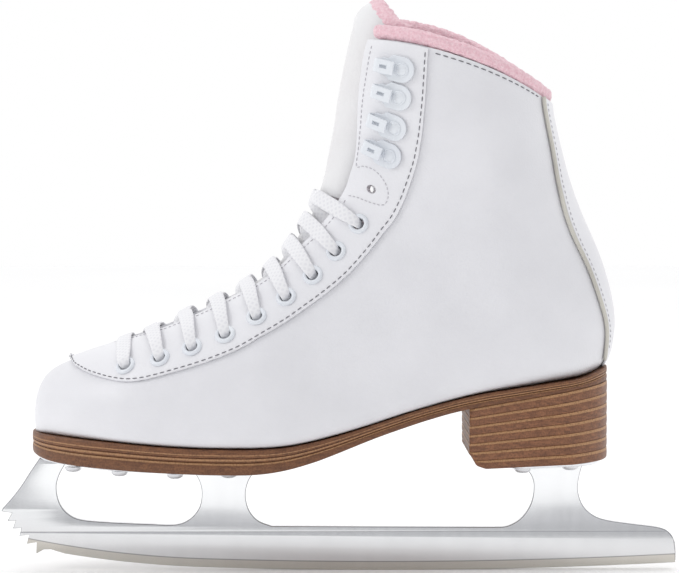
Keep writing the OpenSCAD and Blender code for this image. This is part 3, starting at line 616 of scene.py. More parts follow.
def steel(name, light, dark, rough, grain=(1, 1, 1)):
    look = Look(name, light, rough, 1.0)
    look.coloured(look.noise(160, 3, stretch=grain), (0.3, dark), (0.7, light))
    look.roughness(look.noise(300, 3, stretch=grain), rough * 0.7, rough * 1.4)
    look.bumped(look.noise(1400, 2, stretch=grain), 0.02, 0.25)
    return look.material


def stacked_leather(name, light, dark, stripe, lines):
    """Brown layers with speckled grain. Each line is the start and end of a paler stripe."""
    look = Look(name, dark, 0.5)
    grain = look.ramp(look.noise(260, 6, stretch=(1, 1, 4)), (0.35, dark), (0.68, light))
    speckle = look.ramp(look.noise(1500, 3), (0.36, (0.55, 0.5, 0.45)), (0.56, (1, 1, 1)))
    off, on, fade = (0, 0, 0), (1, 1, 1), 0.02
    stops = [(0.0, off)]
    for low, high in lines:
        stops += [(low, off), (low + fade, on), (high, on), (high + fade, off)]
    where = look.ramp(look.axes("UV")["Y"], *stops)
    blend = look.node("Mix", data_type="RGBA")
    look.link(where, blend.inputs["Factor"])
    look.link(grain, blend.inputs["A"])
    blend.inputs["B"].default_value = (*stripe, 1)
    result = look.multiplied(blend.outputs["Result"], speckle, 0.8)
    look.link(result, look.shader.inputs["Base Color"])
    look.roughness(look.noise(400, 3), 0.42, 0.62)
    look.bumped(look.noise(900, 4, stretch=(1, 1, 3)), 0.08, 0.6)
    return look.set(Coat_Weight=0.1, Coat_Roughness=0.4).material


def blade_look():
    """Bright steel with a duller ground band along the running edge, and painted dark reflections
    on the rounded bevels, darkened by their facing direction.
    """
    look = Look("blade_steel", (0.84, 0.85, 0.87), 0.2, 1.0)
    place = look.axes("Object")
    run = look.math("SUBTRACT", place["X"], ROCKER_X * MM)
    rocker = look.math("DIVIDE", look.math("MULTIPLY", run, run), 2 * ROCKER_R * MM)
    toe = look.math("MAXIMUM", look.math("SUBTRACT", TOE_RISE_X * MM, place["X"]), 0.0)
    toe_rise = look.math("MULTIPLY", look.math("MULTIPLY", toe, toe), TOE_RISE / MM)
    rise = look.math("ADD", rocker, toe_rise)
    high = look.math("MULTIPLY", look.math("SUBTRACT", place["Z"], rise), HEIGHT_TO_RAMP)
    band = look.ramp(high, (0.0, (0.56, 0.54, 0.49)), (0.068, (0.60, 0.57, 0.53)),
                     (0.074, (0.22, 0.22, 0.22)), (0.080, (0.72, 0.72, 0.73)),
                     (0.30, (0.78, 0.79, 0.80)), (0.42, (0.90, 0.91, 0.92)))
    # Painted reflection: the rounded bevels between the sides and the edges are darkened by their
    # facing direction, as dark reflections along the edges.
    flat, painted_bevel_reflection = (1, 1, 1), (0.25, 0.25, 0.27)
    bevel = look.ramp(look.math("ABSOLUTE", look.axes("Normal")["Y"]), (0.15, flat),
                      (0.3, painted_bevel_reflection), (0.88, painted_bevel_reflection), (0.97, flat))
    along = (3, 1, 0.7)
    marks = look.ramp(look.noise(60, 3, stretch=along), (0.3, (0.94, 0.94, 0.94)), (0.7, flat))
    result = look.multiplied(look.multiplied(band, marks, 0.6), bevel)
    look.link(result, look.shader.inputs["Base Color"])
    look.roughness(look.noise(120, 3, stretch=along), 0.14, 0.22)
    look.bumped(look.noise(900, 2, stretch=(6, 1, 0.3)), 0.005, 0.2)
    return look.material


def woven(name, light, dark):
    """A flat braid: slanting ribs that meet along the middle, in millimetres of texture."""
    look = Look(name, light, 0.85)
    ribs = [look.waves(0.22, "UV", (1, lean, 1), 0.6, "DIAGONAL") for lean in (1, -1)]
    both = look.math("MAXIMUM", *ribs)
    look.coloured(both, (0.3, dark), (0.8, light))
    look.bumped(look.noise(1600, 3), 0.1, 0.5)
    look.bumped(both, 0.1, 0.5)
    return look.set(Sheen_Weight=0.2).material


WHITE, WHITE_SHADE = (0.78, 0.78, 0.81), (0.74, 0.74, 0.77)
LEATHER = leather("upper_leather", WHITE, WHITE_SHADE, 0.42)
FACING = leather("facing_leather", (0.80, 0.80, 0.83), (0.77, 0.77, 0.80), 0.38)
TONGUE = leather("tongue_leather", (0.78, 0.78, 0.79), (0.74, 0.73, 0.74), 0.5)
PIPING = leather("piping", (0.62, 0.60, 0.54), (0.52, 0.50, 0.45), 0.55)
FLEECE = fleece_look("fleece", (0.92, 0.68, 0.73), (0.82, 0.48, 0.55))
# The seam thread's dark grey is partly the thread's own grey and partly painted shade of the stitch
# holes.
THREAD_WITH_PAINTED_HOLE_SHADE = fabric("thread", (0.24, 0.23, 0.25), (0.13, 0.13, 0.15), 2500)
PALE_THREAD = fabric("pale_thread", (0.62, 0.61, 0.64), (0.50, 0.49, 0.52), 2500)
SOLE_DARK = stacked_leather("sole_dark", (0.210, 0.083, 0.030), (0.134, 0.049, 0.017),
                            (0.38, 0.20, 0.09), [(0.80, 0.95)])
SOLE_LIGHT = stacked_leather("sole_light", (0.219, 0.088, 0.032), (0.143, 0.052, 0.018),
                             (0.40, 0.21, 0.095), [(0.12, 0.26), (0.52, 0.6)])
HEEL = stacked_leather("heel_stack", (0.272, 0.113, 0.048), (0.169, 0.063, 0.026),
                       (0.43, 0.23, 0.105), [(0.70, 0.95)])
BLADE = blade_look()
CHROME = steel("plate_steel", (0.86, 0.87, 0.89), (0.78, 0.79, 0.82), 0.08)
SCREW = steel("screw_steel", (0.72, 0.72, 0.74), (0.60, 0.60, 0.62), 0.22)
SHANK = steel("shank_steel", (0.35, 0.36, 0.38), (0.25, 0.26, 0.28), 0.4, (1, 20, 1))
FITTING = leather("fitting_white", (0.76, 0.79, 0.83), (0.72, 0.75, 0.80), 0.25, 0.01)
LACE = woven("lace", (0.81, 0.81, 0.83), (0.74, 0.74, 0.77))
AGLET = leather("aglet", (0.80, 0.80, 0.80), (0.72, 0.72, 0.73), 0.15, 0.01)
BOARD = fabric("insole_board", (0.55, 0.42, 0.30), (0.42, 0.31, 0.22))
FOOTBED = fabric("footbed", (0.86, 0.80, 0.79), (0.76, 0.68, 0.68))
STIFFENER = fabric("stiffener", (0.62, 0.55, 0.45), (0.50, 0.44, 0.36))
FOAM = fabric("foam", (0.85, 0.82, 0.66), (0.74, 0.70, 0.54), 1500)
for hidden, finish in (("shank", SHANK), ("insole_board", BOARD)):
    mesh = frame["nodes"][hidden].data
    mesh.materials.clear()
    mesh.materials.append(finish)


# ---- Boot ----

LEATHER_T, OVERLAY_T, LINING_T = 2.0, 1.2, 2.4
FACING_OUT = 1.55
BACKSTAY_OUT, BACKSTAY_T = 1.25, 0.9
STIFF_OUT, STIFF_IN = -2.5, -3.7
LINING_OUT = STIFF_IN - 0.35
EYELET_PLACES = np.array([[4.05, 52.4], [4.68, 53.6], [5.26, 52.6], [5.88, 51], [6.56, 47],
                          [7.38, 45.8], [8.31, 46.4], [9.36, 45.8], [10.79, 45.1]])
NOTCH = (12.81, 44.6)
HOOK_PLACES = np.array([[14.97, 51], [16.29, 55.2], [17.55, 58.4], [18.63, 59.4]])
EYELET_BORE, EYELET_FLANGE = 4.9, 8.9
EYELET_HOLE, NOTCH_HOLE = (3.2, 3.2), (2.3, 1.75)
HOOK_L, HOOK_W, RIVET_BACK = 18, 11, 4.2


def face_frame(t, th, side):
    """The origin and the axes forward, sideways and outward of a fitting on the face."""
    origin, z = face(t, side * th), face_normal(t, side * th)
    ahead = face(t, side * (th - 4)) - origin
    x = unit(ahead - z * np.dot(ahead, z))
    return origin, x, np.cross(z, x), z


def punch(grid, centre, x, y, reach, keep):
    """Opens a round or oval hole in a grid of points, with its corners drawn to the rim."""
    local = grid - centre
    u, v = local @ x / reach[0], local @ y / reach[1]
    near = np.linalg.norm(local, axis=-1) < 3 * max(reach)
    r = np.hypot(u, v)
    middle = 0.25 * (r[1:, 1:] + r[:-1, 1:] + r[1:, :-1] + r[:-1, :-1])
    gone = (middle < 1) & near[1:, 1:]
    keep &= ~gone
    touched = np.zeros(r.shape, bool)
    kept = np.zeros(r.shape, bool)
    for a in (slice(None, -1), slice(1, None)):
        for b in (slice(None, -1), slice(1, None)):
            touched[a, b] |= gone
            kept[a, b] |= ~gone
    rim = touched & kept
    push = (1 / np.maximum(r[rim], 1e-6) - 1)[:, None]
    grid[rim] += push * (u[rim, None] * reach[0] * x + v[rim, None] * reach[1] * y)


def punch_fittings(grid, side, keep):
    for place, reach in [(p, EYELET_HOLE) for p in EYELET_PLACES] + [(NOTCH, NOTCH_HOLE)]:
        origin, x, y, _ = face_frame(*place, side)
        punch(grid, origin, x, y, reach, keep)


def wrapped(th):
    """Angles past the back, turned to the other side."""
    return np.where(th > 180, th - 360, th)


def margin(t, side):
    """Where the upper ends under the sole: halfway in at the toe, at the middle by the heel."""
    w = half_width(t, side)
    y = mix(0.5 * w, 0, np.clip((t - 8.5) / 3, 0, 1))
    return angle_in(t, np.clip(y / np.maximum(w, 0.01), 0, 0.6))


def panel(build, t, first, last, columns, depth, side=None):
    """A layer of the boot between two angles on each row, as a grid facing outwards."""
    f = np.linspace(0, 1, columns)
    th = wrapped(first[:, None] + (last - first)[:, None] * f)
    grid = at_depth(t[:, None], th, depth)
    keep = np.ones((len(t) - 1, columns - 1), bool)
    if side:
        punch_fittings(grid, side, keep)
    uvs = np.stack([arc_lengths(grid), np.broadcast_to(t[:, None] * 14, th.shape)], -1)
    rising = (last - first).mean() > 0
    build.grid(grid, uvs, keep=keep, flip=rising)


def and_throat(toe_rows, last, count):
    """Rows over the toe up to THROAT_T, and then count rows from there to the last."""
    return np.concatenate([toe_rows[:-1], np.linspace(THROAT_T, last, count)])


def upper():
    build = Build()
    t = and_throat(np.linspace(0, THROAT_T, 80), TOP_T, 330)
    for side in SIDES:
        panel(build, t, side * edge(t, side), side * margin(t, side), 110, 0, side)
    piece = build.piece("boot_upper", LEATHER, weld=0.02, outward=False)
    return stands_for(thicken(piece, LEATHER_T, 0.5), "upper_leather", "upper")


def seam_rows(count, last):
    """Rows from the seam's start, close together where it crosses the toe."""
    first = SEAM_START + 0.001
    return first + (last - first) * np.linspace(0, 1, count) ** 2


def facing():
    build = Build()
    t = and_throat(seam_rows(60, THROAT_T), EDGE_T, 440)
    for side in SIDES:
        first = edge(t, side)
        panel(build, t, side * first, side * np.maximum(seam_angle(t), first + 1), 48,
              FACING_OUT, side)
    piece = build.piece("lace_facing", FACING, weld=0.02, outward=False)
    return stands_for(thicken(piece, OVERLAY_T, 0.5), "facing_leather", "facing")


def backstay():
    build = Build()
    t = np.linspace(12.1, EDGE_T, 120)
    back = backstay_angle(t) + 2.4
    panel(build, t, back, 360 - back, 64, BACKSTAY_OUT)
    piece = build.piece("heel_backstay", FACING, outward=False)
    return stands_for(thicken(piece, BACKSTAY_T, 0.4), "facing_leather", "backstay")


def piping():
    build = Build()
    t = np.linspace(12.25, EDGE_T, 160)
    section = rounded_section(16, 0.9, 0.9)
    for side in SIDES:
        centres, thins = on_surface(t, side * backstay_angle(t), 1.1)
        wides = unit(np.cross(np.gradient(centres, axis=0), thins))
        sweep(build, centres, wides * 0.95, thins * 0.8, section)
    return stands_for(build.piece("backstay_piping_cord", PIPING), "piping",
                      "backstay_piping")


def hidden_panel(name, node, rows, count, first, last, columns, look, slot):
    """A stiff or padded layer between the upper and the lining."""
    build = Build()
    t = np.linspace(*rows, count)
    panel(build, t, np.broadcast_to(first, count), np.broadcast_to(last, count), columns, STIFF_OUT)
    piece = thicken(build.piece(name, look, outward=False), STIFF_OUT - STIFF_IN - 0.1, 0.35)
    return stands_for(piece, slot, node)


def stiffening():
    toe_rows, count = (0.8, 3.3), 24
    up = angle_up(np.linspace(*toe_rows, count), 6.5)
    hidden_panel("toe_stiffener", "toe_box", toe_rows, count, -up, up, 60, STIFFENER, "stiffener")
    hidden_panel("heel_stiffener", "heel_counter", (12.2, 14.6), count, 100.0, 260.0, 60,
                 STIFFENER, "stiffener")
    for side, word in SIDES.items():
        pad = hidden_panel(f"ankle_foam_{word}", f"ankle_pad_{word}", (14.9, 19.4), 28,
                           84.0 * side, 172.0 * side, 36, FOAM, "foam")


def lining(side):
    """Fleece inside one half of the boot, with a napped inner face."""
    t = and_throat(np.linspace(1.7, THROAT_T, 30), 19.9, 180)
    floor_up = angle_up(t, mix(11, 14, np.clip((t - 9) / 2, 0, 1)))
    end = mix(floor_up, 179.9, np.clip(t - 12, 0, 1))
    opening = mix(1.5, 60, np.clip((t - THROAT_T) / 0.5, 0, 1))
    start = np.where(t < THROAT_T, 1.5, np.maximum(seam_angle(t) + 3, opening))
    f = np.linspace(0, 1, 90)
    th = side * (start[:, None] + (end - start)[:, None] * f)
    nap = 0.25 * rough_field(*th.shape, 2, 11 + side)
    border = np.minimum(1, 8 * np.minimum(f, 1 - f))[None, :]
    outer = at_depth(t[:, None], th, LINING_OUT)
    inner = at_depth(t[:, None], th, LINING_OUT - LINING_T * np.sqrt(border) + nap * border - 0.05)
    build = Build()
    build.closed_layer(outer, inner, side < 0, columns=[-1])
    piece = build.piece(f"fleece_lining_{SIDES[side]}", FLEECE, weld=0.02)
    return stands_for(piece, "fleece", f"lining_{SIDES[side]}")


COLLAR_R = 3.1
MEDIAL_FULLER = 1.3


def fleece_roll(name, body, centres, wides, thins, section, swell):
    """A napped roll along a line. swell scales the section at each of its points."""
    build = Build()
    build.grid(centres[:, None] + swept(wides, thins, section) * swell, around=True, caps=True)
    piece = build.piece(name, FLEECE, body)
    return piece


def collar():
    """The rolled fleece rim round the top."""
    first = edge(TOP_T, MEDIAL) + 0.6
    last = 360 - edge(TOP_T, LATERAL) - 0.6
    th = wrapped(np.linspace(first, last, 420))
    rim, out = on_surface(np.full(len(th), float(TOP_T)), th, 0)
    tall = COLLAR_R + MEDIAL_FULLER * smoothstep(rim[:, 1], -20, 25)[:, None]
    up = np.array([0, 0, 1.0])
    centres = rim + up * (tall + 0.15) - out * 3
    ends = np.minimum(np.arange(len(th)), np.arange(len(th))[::-1]) / 7
    full = np.sqrt(1 - (1 - np.clip(ends, 0.02, 1)) ** 2)[:, None, None]
    nap = 1 + 0.07 * rough_field(len(th), 48, 1, 5)[..., None]
    piece = fleece_roll("fleece_collar", BOOT, centres, out * 3.6, up * tall,
                        rounded_section(48, 0.8, 0.8), nap * full)
    return stands_for(piece, "fleece", "collar")


# ---- Tongue ----

TONGUE_T = 4.2
TONGUE_SPLIT_T = 11.9
# Rows up the tongue's top: middle x and z, depth, half width and drop of the wings.
TONGUE_ROWS = np.array([
    [-8.3, 166.5, 9.6, 14.8, 4], [-6.0, 174.6, 10, 15.2, 4], [-5.0, 180.5, 11, 15.8, 4],
    [-3.6, 187.5, 12, 16.8, 4], [-2.0, 196, 13, 17.8, 4], [-0.9, 204, 14, 18.8, 4.5],
    [0.6, 213, 15, 19.2, 5],
    [2.6, 223, 16, 18.8, 5.5], [4.4, 231, 16, 18.2, 6], [5.8, 237, 15.8, 18, 7],
    [7, 242, 15, 18, 8.5], [9.8, 246, 13, 18, 10], [14.5, 249.2, 11.2, 18, 11.5]])
FOLD_START, FOLD_END = (-0.008, 0, 0.166), (-0.004, 0, 0.180)
WING_ANGLE = 112
ROW_STEPS, WING_COLUMNS, RIM_FIRST_ROW = 12, 96, 8


def tongue_lower():
    t = np.linspace(3.66, TONGUE_SPLIT_T, 230)
    gap = gap_at(t)
    half = gap + np.where(t > 9, mix(7, 3.5, np.clip(t - 9, 0, 1)), 7)
    f = np.linspace(-1, 1, 60)
    th = np.stack([np.concatenate([-edge_line(t_i, LATERAL, h * -f[f < 0]),
                                   edge_line(t_i, MEDIAL, h * f[f >= 0])])
                   for t_i, h in zip(t, half)])
    y = np.abs(f)[None] * (half / np.maximum(gap, 1))[:, None]
    depth = mix(-1.5, -4.6, np.clip((y - 0.35) / 0.5, 0, 1))
    rim = np.sqrt(1 - np.clip((np.abs(f) - 0.93) / 0.07, 0, 0.97) ** 2)[None]
    middle = depth - TONGUE_T / 2
    nap = 0.15 * rough_field(*th.shape, 2, 3)
    build = Build()
    build.closed_layer(at_depth(t[:, None], th, middle + TONGUE_T / 2 * rim),
                       at_depth(t[:, None], th, middle - TONGUE_T / 2 * rim - nap * rim))
    piece = build.piece("tongue_front", TONGUE, weld=0.02, angle=60)
    return stands_for(piece, "tongue_leather", "tongue_lower")


def edge_line(t, side, y):
    return angle_at(np.full(np.shape(y), t), side, y)


def wing_points(depth):
    """The tongue's top wrapped round the shin, some depth under its outer face."""
    x, z, deep, wide, drop = curve(TONGUE_ROWS, ROW_STEPS).T[..., None]
    f = np.linspace(-1, 1, WING_COLUMNS)[None]
    a = np.radians(f * WING_ANGLE)
    return np.stack([x + depth + (deep - depth) * (1 - np.cos(a)), (wide - depth) * np.sin(a),
                     z - drop * np.sin(np.radians(f * 90)) ** 2], -1)


def tongue_layer(name, look, slot, node, outer_depth, inner_depth, nap, seed):
    outer = wing_points(outer_depth)
    field = nap * rough_field(*outer.shape[:2], 1, seed)
    build = Build()
    build.closed_layer(outer, wing_points(inner_depth + field))
    piece = build.piece(name, look, None, weld=0.02, angle=60)
    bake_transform(piece)
    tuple(FOLD_START)
    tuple(FOLD_END)
    return stands_for(piece, slot, node)


def tongue_rim():
    """The fleece edge turned over the top of the tongue, down to the collar."""
    grid, low = wing_points(1.5), ROW_STEPS * RIM_FIRST_ROW
    line = np.concatenate([grid[low:, 0], grid[-1, 1:-1], grid[low:, -1][::-1]])
    line = blurred(resampled(line, 0.5)[0], 4) - [0, 0, 2.0]
    along = unit(np.gradient(line, axis=0))
    out = np.broadcast_to(unit(np.array([-0.4, 0, 1])), line.shape)
    wides = unit(np.cross(along, out)) * 3.9
    thins = unit(np.cross(wides, along)) * 2.6
    nap = 1 + 0.09 * rough_field(len(line), 24, 1, 8)[..., None]
    piece = fleece_roll("tongue_fleece_rim", TONGUE_TOP, line, wides, thins,
                        rounded_section(24, 0.9, 0.9), nap)
    return stands_for(piece, "fleece")


# ---- Fittings ----

def fitting_piece(build, name, node, side, weld):
    """The finished white fittings of one side."""
    piece = build.piece(f"{name}_{SIDES[side]}", FITTING, weld=weld, angle=50)
    return stands_for(piece, "fitting_white", f"{node}_{SIDES[side]}")


def eyelets(side):
    """A ring with a rounded flange outside, a barrel, and a turned edge inside."""
    build = Build()
    r, flange, seat = EYELET_BORE / 2, EYELET_FLANGE / 2, FACING_OUT
    rim = [(flange * 0.5 + r * 0.5 + (flange - r) / 2 * math.cos(a), seat + 1.15 * math.sin(a))
           for a in np.linspace(0, math.pi, 13)]
    profile = [(flange - 0.3, seat - 0.1), *rim, (r - 0.02, seat - 0.5), (r, -2.9), (r + 0.3, -3.3),
               (3.5, -3.4), (3.6, -3.1), (r + 0.5, -3.0), (r + 0.5, seat - 0.1),
               (flange - 0.3, seat - 0.1)]
    for t, th in EYELET_PLACES:
        lathe(build, profile, *face_frame(t, th, side), count=48)
    return fitting_piece(build, "eyelet_rings", "eyelets", side, 0.01)


def hooks(side):
    """A riveted plate with a round back end and a folded arm, for each hook."""
    arm_r, plate = 2.3, 1.0
    front = HOOK_L - HOOK_W / 2 - RIVET_BACK - arm_r
    a = np.radians(np.linspace(90, 270, 28))
    back = np.stack([-RIVET_BACK + HOOK_W / 2 * np.cos(a), HOOK_W / 2 * np.sin(a)], 1)
    corner = [(0.6, -HOOK_W / 2), (1.5, -5.2), (2.1, -4.4), (3.2, -3.7), (front, -3.6)]
    outline = np.concatenate([back, corner, [(x, -y) for x, y in corner[::-1]]])
    bend = np.radians(np.linspace(-90, 90, 12))
    r = arm_r - plate / 2
    path = np.array([(front - 1.5, plate / 2)]
                    + [(front + r * np.cos(b), arm_r + r * np.sin(b)) for b in bend]
                    + [(front - x, 2 * arm_r - plate / 2) for x in (1.2, 2.9, 4.6, 6.2, 7.2, 7.6)])
    along = unit(np.gradient(path, axis=0))
    # The folded arm is whole at the bend and at its tip, and two prongs between them.
    strips = [(slice(0, 14), 0, 2.9), (slice(13, 17), 1.8, 1.1), (slice(13, 17), -1.8, 1.1),
              (slice(15, 19), 0, 2.85)]
    plates = Build()
    section = rounded_section(24, 0.35, 0.35)
    for t, th in HOOK_PLACES:
        o, x, y, z = face_frame(t, th, side)
        o = o + z * (FACING_OUT + 0.1)
        prism(plates, [outline], plate / 2, 0.35,
              lambda p: o + p[:, :1] * x + p[:, 1:2] * y + (p[:, 2:] + plate / 2) * z)
        for part, middle, half in strips:
            centres = o + path[part, :1] * x + path[part, 1:] * z + y * middle
            thins = along[part, :1] * z - along[part, 1:] * x
            wides = np.broadcast_to(y * half, centres.shape)
            sweep(plates, centres, wides, thins * plate / 2, section)
    return fitting_piece(plates, "lace_hooks", "hooks", side, 0.01)


def rivets(side):
    """A rivet with a low domed head at the back of each hook."""
    build = Build()
    top = FACING_OUT + 1.1
    profile = [(0.01, -3.4), (2.5, -3.4), (2.6, -3.1), (1.5, -2.9), (1.5, top), (3.1, top),
               (3.2, top + 0.25), (3.0, top + 0.5), (2.7, top + 0.58), (2.5, top + 0.42),
               (2.3, top + 0.6), (1.6, top + 0.95), (0.8, top + 1.12), (0.01, top + 1.16)]
    for t, th in HOOK_PLACES:
        o, x, y, z = face_frame(t, th, side)
        lathe(build, profile, o - x * RIVET_BACK, x, y, z, count=40)
    return fitting_piece(build, "hook_rivet_heads", "hook_rivets", side, 0.03)


# ---- Laces ----

LACE_W, LACE_T = 6.7, 1.2
# How much higher the lace that crosses over the other one runs at the crossing.
OVER_LIFT = 1.25
# Along a span from eyelet to eyelet: place, height off the face, and share of the width.
# Places 1 and 2 are the two edges of the throat.
SPAN_STEPS = np.array([
    [0, -2.4, 0.62], [0.3, -3.7, 0.8], [0.75, -3.6, 0.95], [1.1, -2.8, 1], [1.3, -0.3, 1],
    [1.5, 0.5, 1], [1.75, 2.1, 1], [2.1, 2.6, 1], [2.6, 3.5, 0.85], [2.93, 2.6, 0.68],
    [3, 0.2, 0.62]])
BAR_STEPS = np.array([
    [-1, 0.2, 0.62], [-0.985, 2.6, 0.68], [-0.92, 3.4, 0.85], [-0.7, 2.5, 1], [-0.3, 2.4, 1],
    [0, 2.4, 1], [0.3, 2.4, 1], [0.7, 2.5, 1], [0.92, 3.4, 0.85], [0.985, 2.6, 0.68],
    [1, 0.2, 0.62]])
LAST_EYELET = len(EYELET_PLACES) - 1
# The middle of the lowest lace lies towards the toe by this share of a station's spacing.
BAR_FORWARD = 0.14


def lace_frame(t, th, depth, share, wide, way):
    """Centre, wide half axis and thin half axis, as nine numbers."""
    n = face_normal(t, th)
    thin = unit(np.cross(way, wide)) * LACE_T / 2
    return np.concatenate([face(t, th) + n * depth, wide * LACE_W / 2 * share, thin])


def span(k, side):
    """The lace from inside eyelet k on one side, across and down into the next one."""
    a, b = EYELET_PLACES[k], EYELET_PLACES[k + 1]
    h0, h1 = side * a[1], -side * b[1]
    ahead = unit(face(b[0], h1) - face(a[0], h0))
    over = OVER_LIFT if (k % 2 == 0) == (side == MEDIAL) else 0
    whole = a[1] + b[1]
    leave = (a[1] - edge(a[0], side)) / whole
    arrive = 1 - (b[1] - edge(b[0], -side)) / whole
    frames = []
    for i, (place, depth, share) in enumerate(SPAN_STEPS):
        f = float(np.interp(place, [0, 1, 2, 3], [0, leave, arrive, 1]))
        t, th = mix(a[0], b[0], f), mix(h0, h1, f)
        n = face_normal(t, th)
        wide = -side * unit(np.cross(ahead, n))
        at_end = i in (0, len(SPAN_STEPS) - 1)
        way = -n if at_end and i else n if at_end else np.cross(n, wide) * -side
        lift = over * math.sin(math.pi * f) ** 4
        frames.append(lace_frame(t, th, depth + lift, share, wide, way))
    return frames


def aligned(frames):
    """Frames whose thin axes don't turn over from one to the next."""
    frames = [np.array(f) for f in frames]
    for a, b in zip(frames, frames[1:]):
        for k in (slice(3, 6), slice(6, 9)):
            if np.dot(a[k], b[k]) < 0:
                b[k] *= -1
    return np.array(frames)


def lace_bar():
    """The lowest lace, from one eyelet of the first pair to the other."""
    t, first = EYELET_PLACES[0]
    frames = []
    for place, depth, share in BAR_STEPS:
        th = place * first
        row = t - BAR_FORWARD * (1 - place ** 2)
        n = face_normal(row, th)
        wide = unit(np.cross([0, 1, 0], n))
        way = n * -np.sign(place) if abs(place) == 1 else np.cross(n, wide)
        frames.append(lace_frame(row, th, depth, share, wide, way))
    return frames


def lace_exit(side):
    """The lace's frame inside the top eyelet, where its free end starts."""
    t, th = EYELET_PLACES[LAST_EYELET]
    last = span(LAST_EYELET - 1, -side)[-1].copy()
    last[:3] = at_depth(t, side * th, -2.8)
    return last


def smooth_frames(frames, step):
    """Frames along a smooth line through the given ones, at an even spacing."""
    dense = curve(aligned(frames), 12)
    c, w, h = resampled(dense[:, :3], step, dense[:, 3:6], dense[:, 6:9])
    width = np.linalg.norm(w, axis=1, keepdims=True)
    along = unit(np.gradient(c, axis=0))
    side_way = unit(w - along * np.sum(w * along, 1, keepdims=True))
    thin = unit(np.cross(along, side_way)) * LACE_T / 2
    return c, side_way * width, thin


def lace_run():
    lateral, medial = [[frame for k in range(LAST_EYELET)
                        for frame in span(k, first if k % 2 == 0 else -first)]
                       for first in SIDES]
    frames = [lace_exit(LATERAL), *lateral[::-1], *lace_bar(), *medial, lace_exit(MEDIAL)]
    build = Build()
    sweep(build, *smooth_frames(frames, 0.7), rounded_section(24, 0.45, 0.8))
    piece = build.piece("lace_through_eyelets", LACE)
    return stands_for(piece, "lace", "lace_laced")


DROPS = {
    LATERAL: [[15, -20, 147], [18, -18.5, 141], [20, -19, 128], [21, -20.5, 113],
              [21, -21.5, 100], [22, -22, 90], [28, -21.5, 86.5], [40, -18.4, 88.2]],
    MEDIAL: [[15, 20, 147], [18, 18.5, 141], [20, 19, 128], [21, 20.5, 115],
             [22, 21.5, 104], [24, 22, 97], [30, 21.5, 94.5], [40, 18.4, 95.5]]}
HANK_MID = np.array([31, 0, 82.6])
HANK_L, HANK_W, HANK_H = 108, 33, 6.9
HANK_SLOPE = math.radians(13.5)
HANK_PITCH = 7.2
HANK_X = np.array([math.cos(HANK_SLOPE), 0, math.sin(HANK_SLOPE)])
HANK_Z = np.array([-math.sin(HANK_SLOPE), 0, math.cos(HANK_SLOPE)])
TURNS, TURN_PITCH = 4, 2.6
END_LENGTH = 440
# The free ends are a little narrower than the laced run.
END_SLIM = 0.97
AGLET_L, AGLET_D = 20, 3


def hank_line(side):
    """Nested turns on edge round the hank, from its outer side towards its middle."""
    level = 0 if side == LATERAL else 1
    middle = HANK_MID + [0, 0, level * HANK_PITCH] + HANK_Z * HANK_H / 2
    points = []
    straight = (HANK_L - HANK_W) / 2
    for k in range(TURNS):
        r = HANK_W / 2 - 1.0 - k * TURN_PITCH
        for end, start in ((1, -90), (-1, 90)):
            for a in np.radians(np.linspace(start, start + 180, 13)):
                shrink = 0 if end > 0 else TURN_PITCH * (math.degrees(a) - 90) / 180
                points.append((end * straight + (r - shrink) * math.cos(a),
                               (r - shrink) * math.sin(a)))
    return np.array([middle + u * HANK_X + [0, side * v, 0] for u, v in points])


def lace_end(side):
    """A free end: down the inside of the boot, then folded flat on the footbed."""
    word, half = SIDES[side], LACE_W / 2
    out, hank = lace_exit(side), hank_line(side)
    line = np.vstack([out[:3], DROPS[side], hank])
    dropping = unit(np.array([0.2, 0, side])) * half
    wide = np.vstack([out[3:6], np.tile(dropping, (len(DROPS[side]), 1)),
                      np.tile(HANK_Z * side * half * END_SLIM, (len(hank), 1))])
    wide[1] = unit(mix(unit(out[3:6]), unit(wide[2]), 0.4)) * half
    line, wide = resampled(curve(line, 10), 1.0, curve(wide, 10))
    count = int(np.searchsorted(lengths(line), END_LENGTH))
    line, wide = line[:count], wide[:count]
    along = unit(np.gradient(line, axis=0))
    wide = unit(wide - along * np.sum(wide * along, 1, keepdims=True)) * half * END_SLIM
    thin = unit(np.cross(along, wide)) * LACE_T / 2
    narrow = np.ones((count, 1))
    narrow[-9:, 0] = np.linspace(1, 0.3, 9)
    narrow[:6, 0] = np.linspace(0.62, 1, 6)
    build = Build()
    sweep(build, line, wide * narrow, thin, rounded_section(16, 0.45, 0.8))
    piece = build.piece(f"lace_free_end_{word}", LACE)
    tip, r = Build(), AGLET_D / 2
    way, x = along[-1], unit(wide[-1])
    lathe(tip, [(0.01, 0), (r - 0.25, 0), (r - 0.02, 0.25), (r, 0.6), (r, AGLET_L - 1.2),
                (r - 0.2, AGLET_L - 0.5), (r - 0.6, AGLET_L - 0.1), (0.01, AGLET_L)],
          line[-1] - way * 1.5, x, np.cross(way, x), way, 28)
    aglet = tip.piece(f"aglet_tip_{word}", AGLET, weld=0.03, angle=50)
    stands_for(aglet, "aglet", f"aglet_{word}")
    stands_for(piece, "lace", f"lace_end_{word}", f"lace_hank_{word}")
    float(lengths(line)[-1]) * MM


# ---- Sole and heel ----

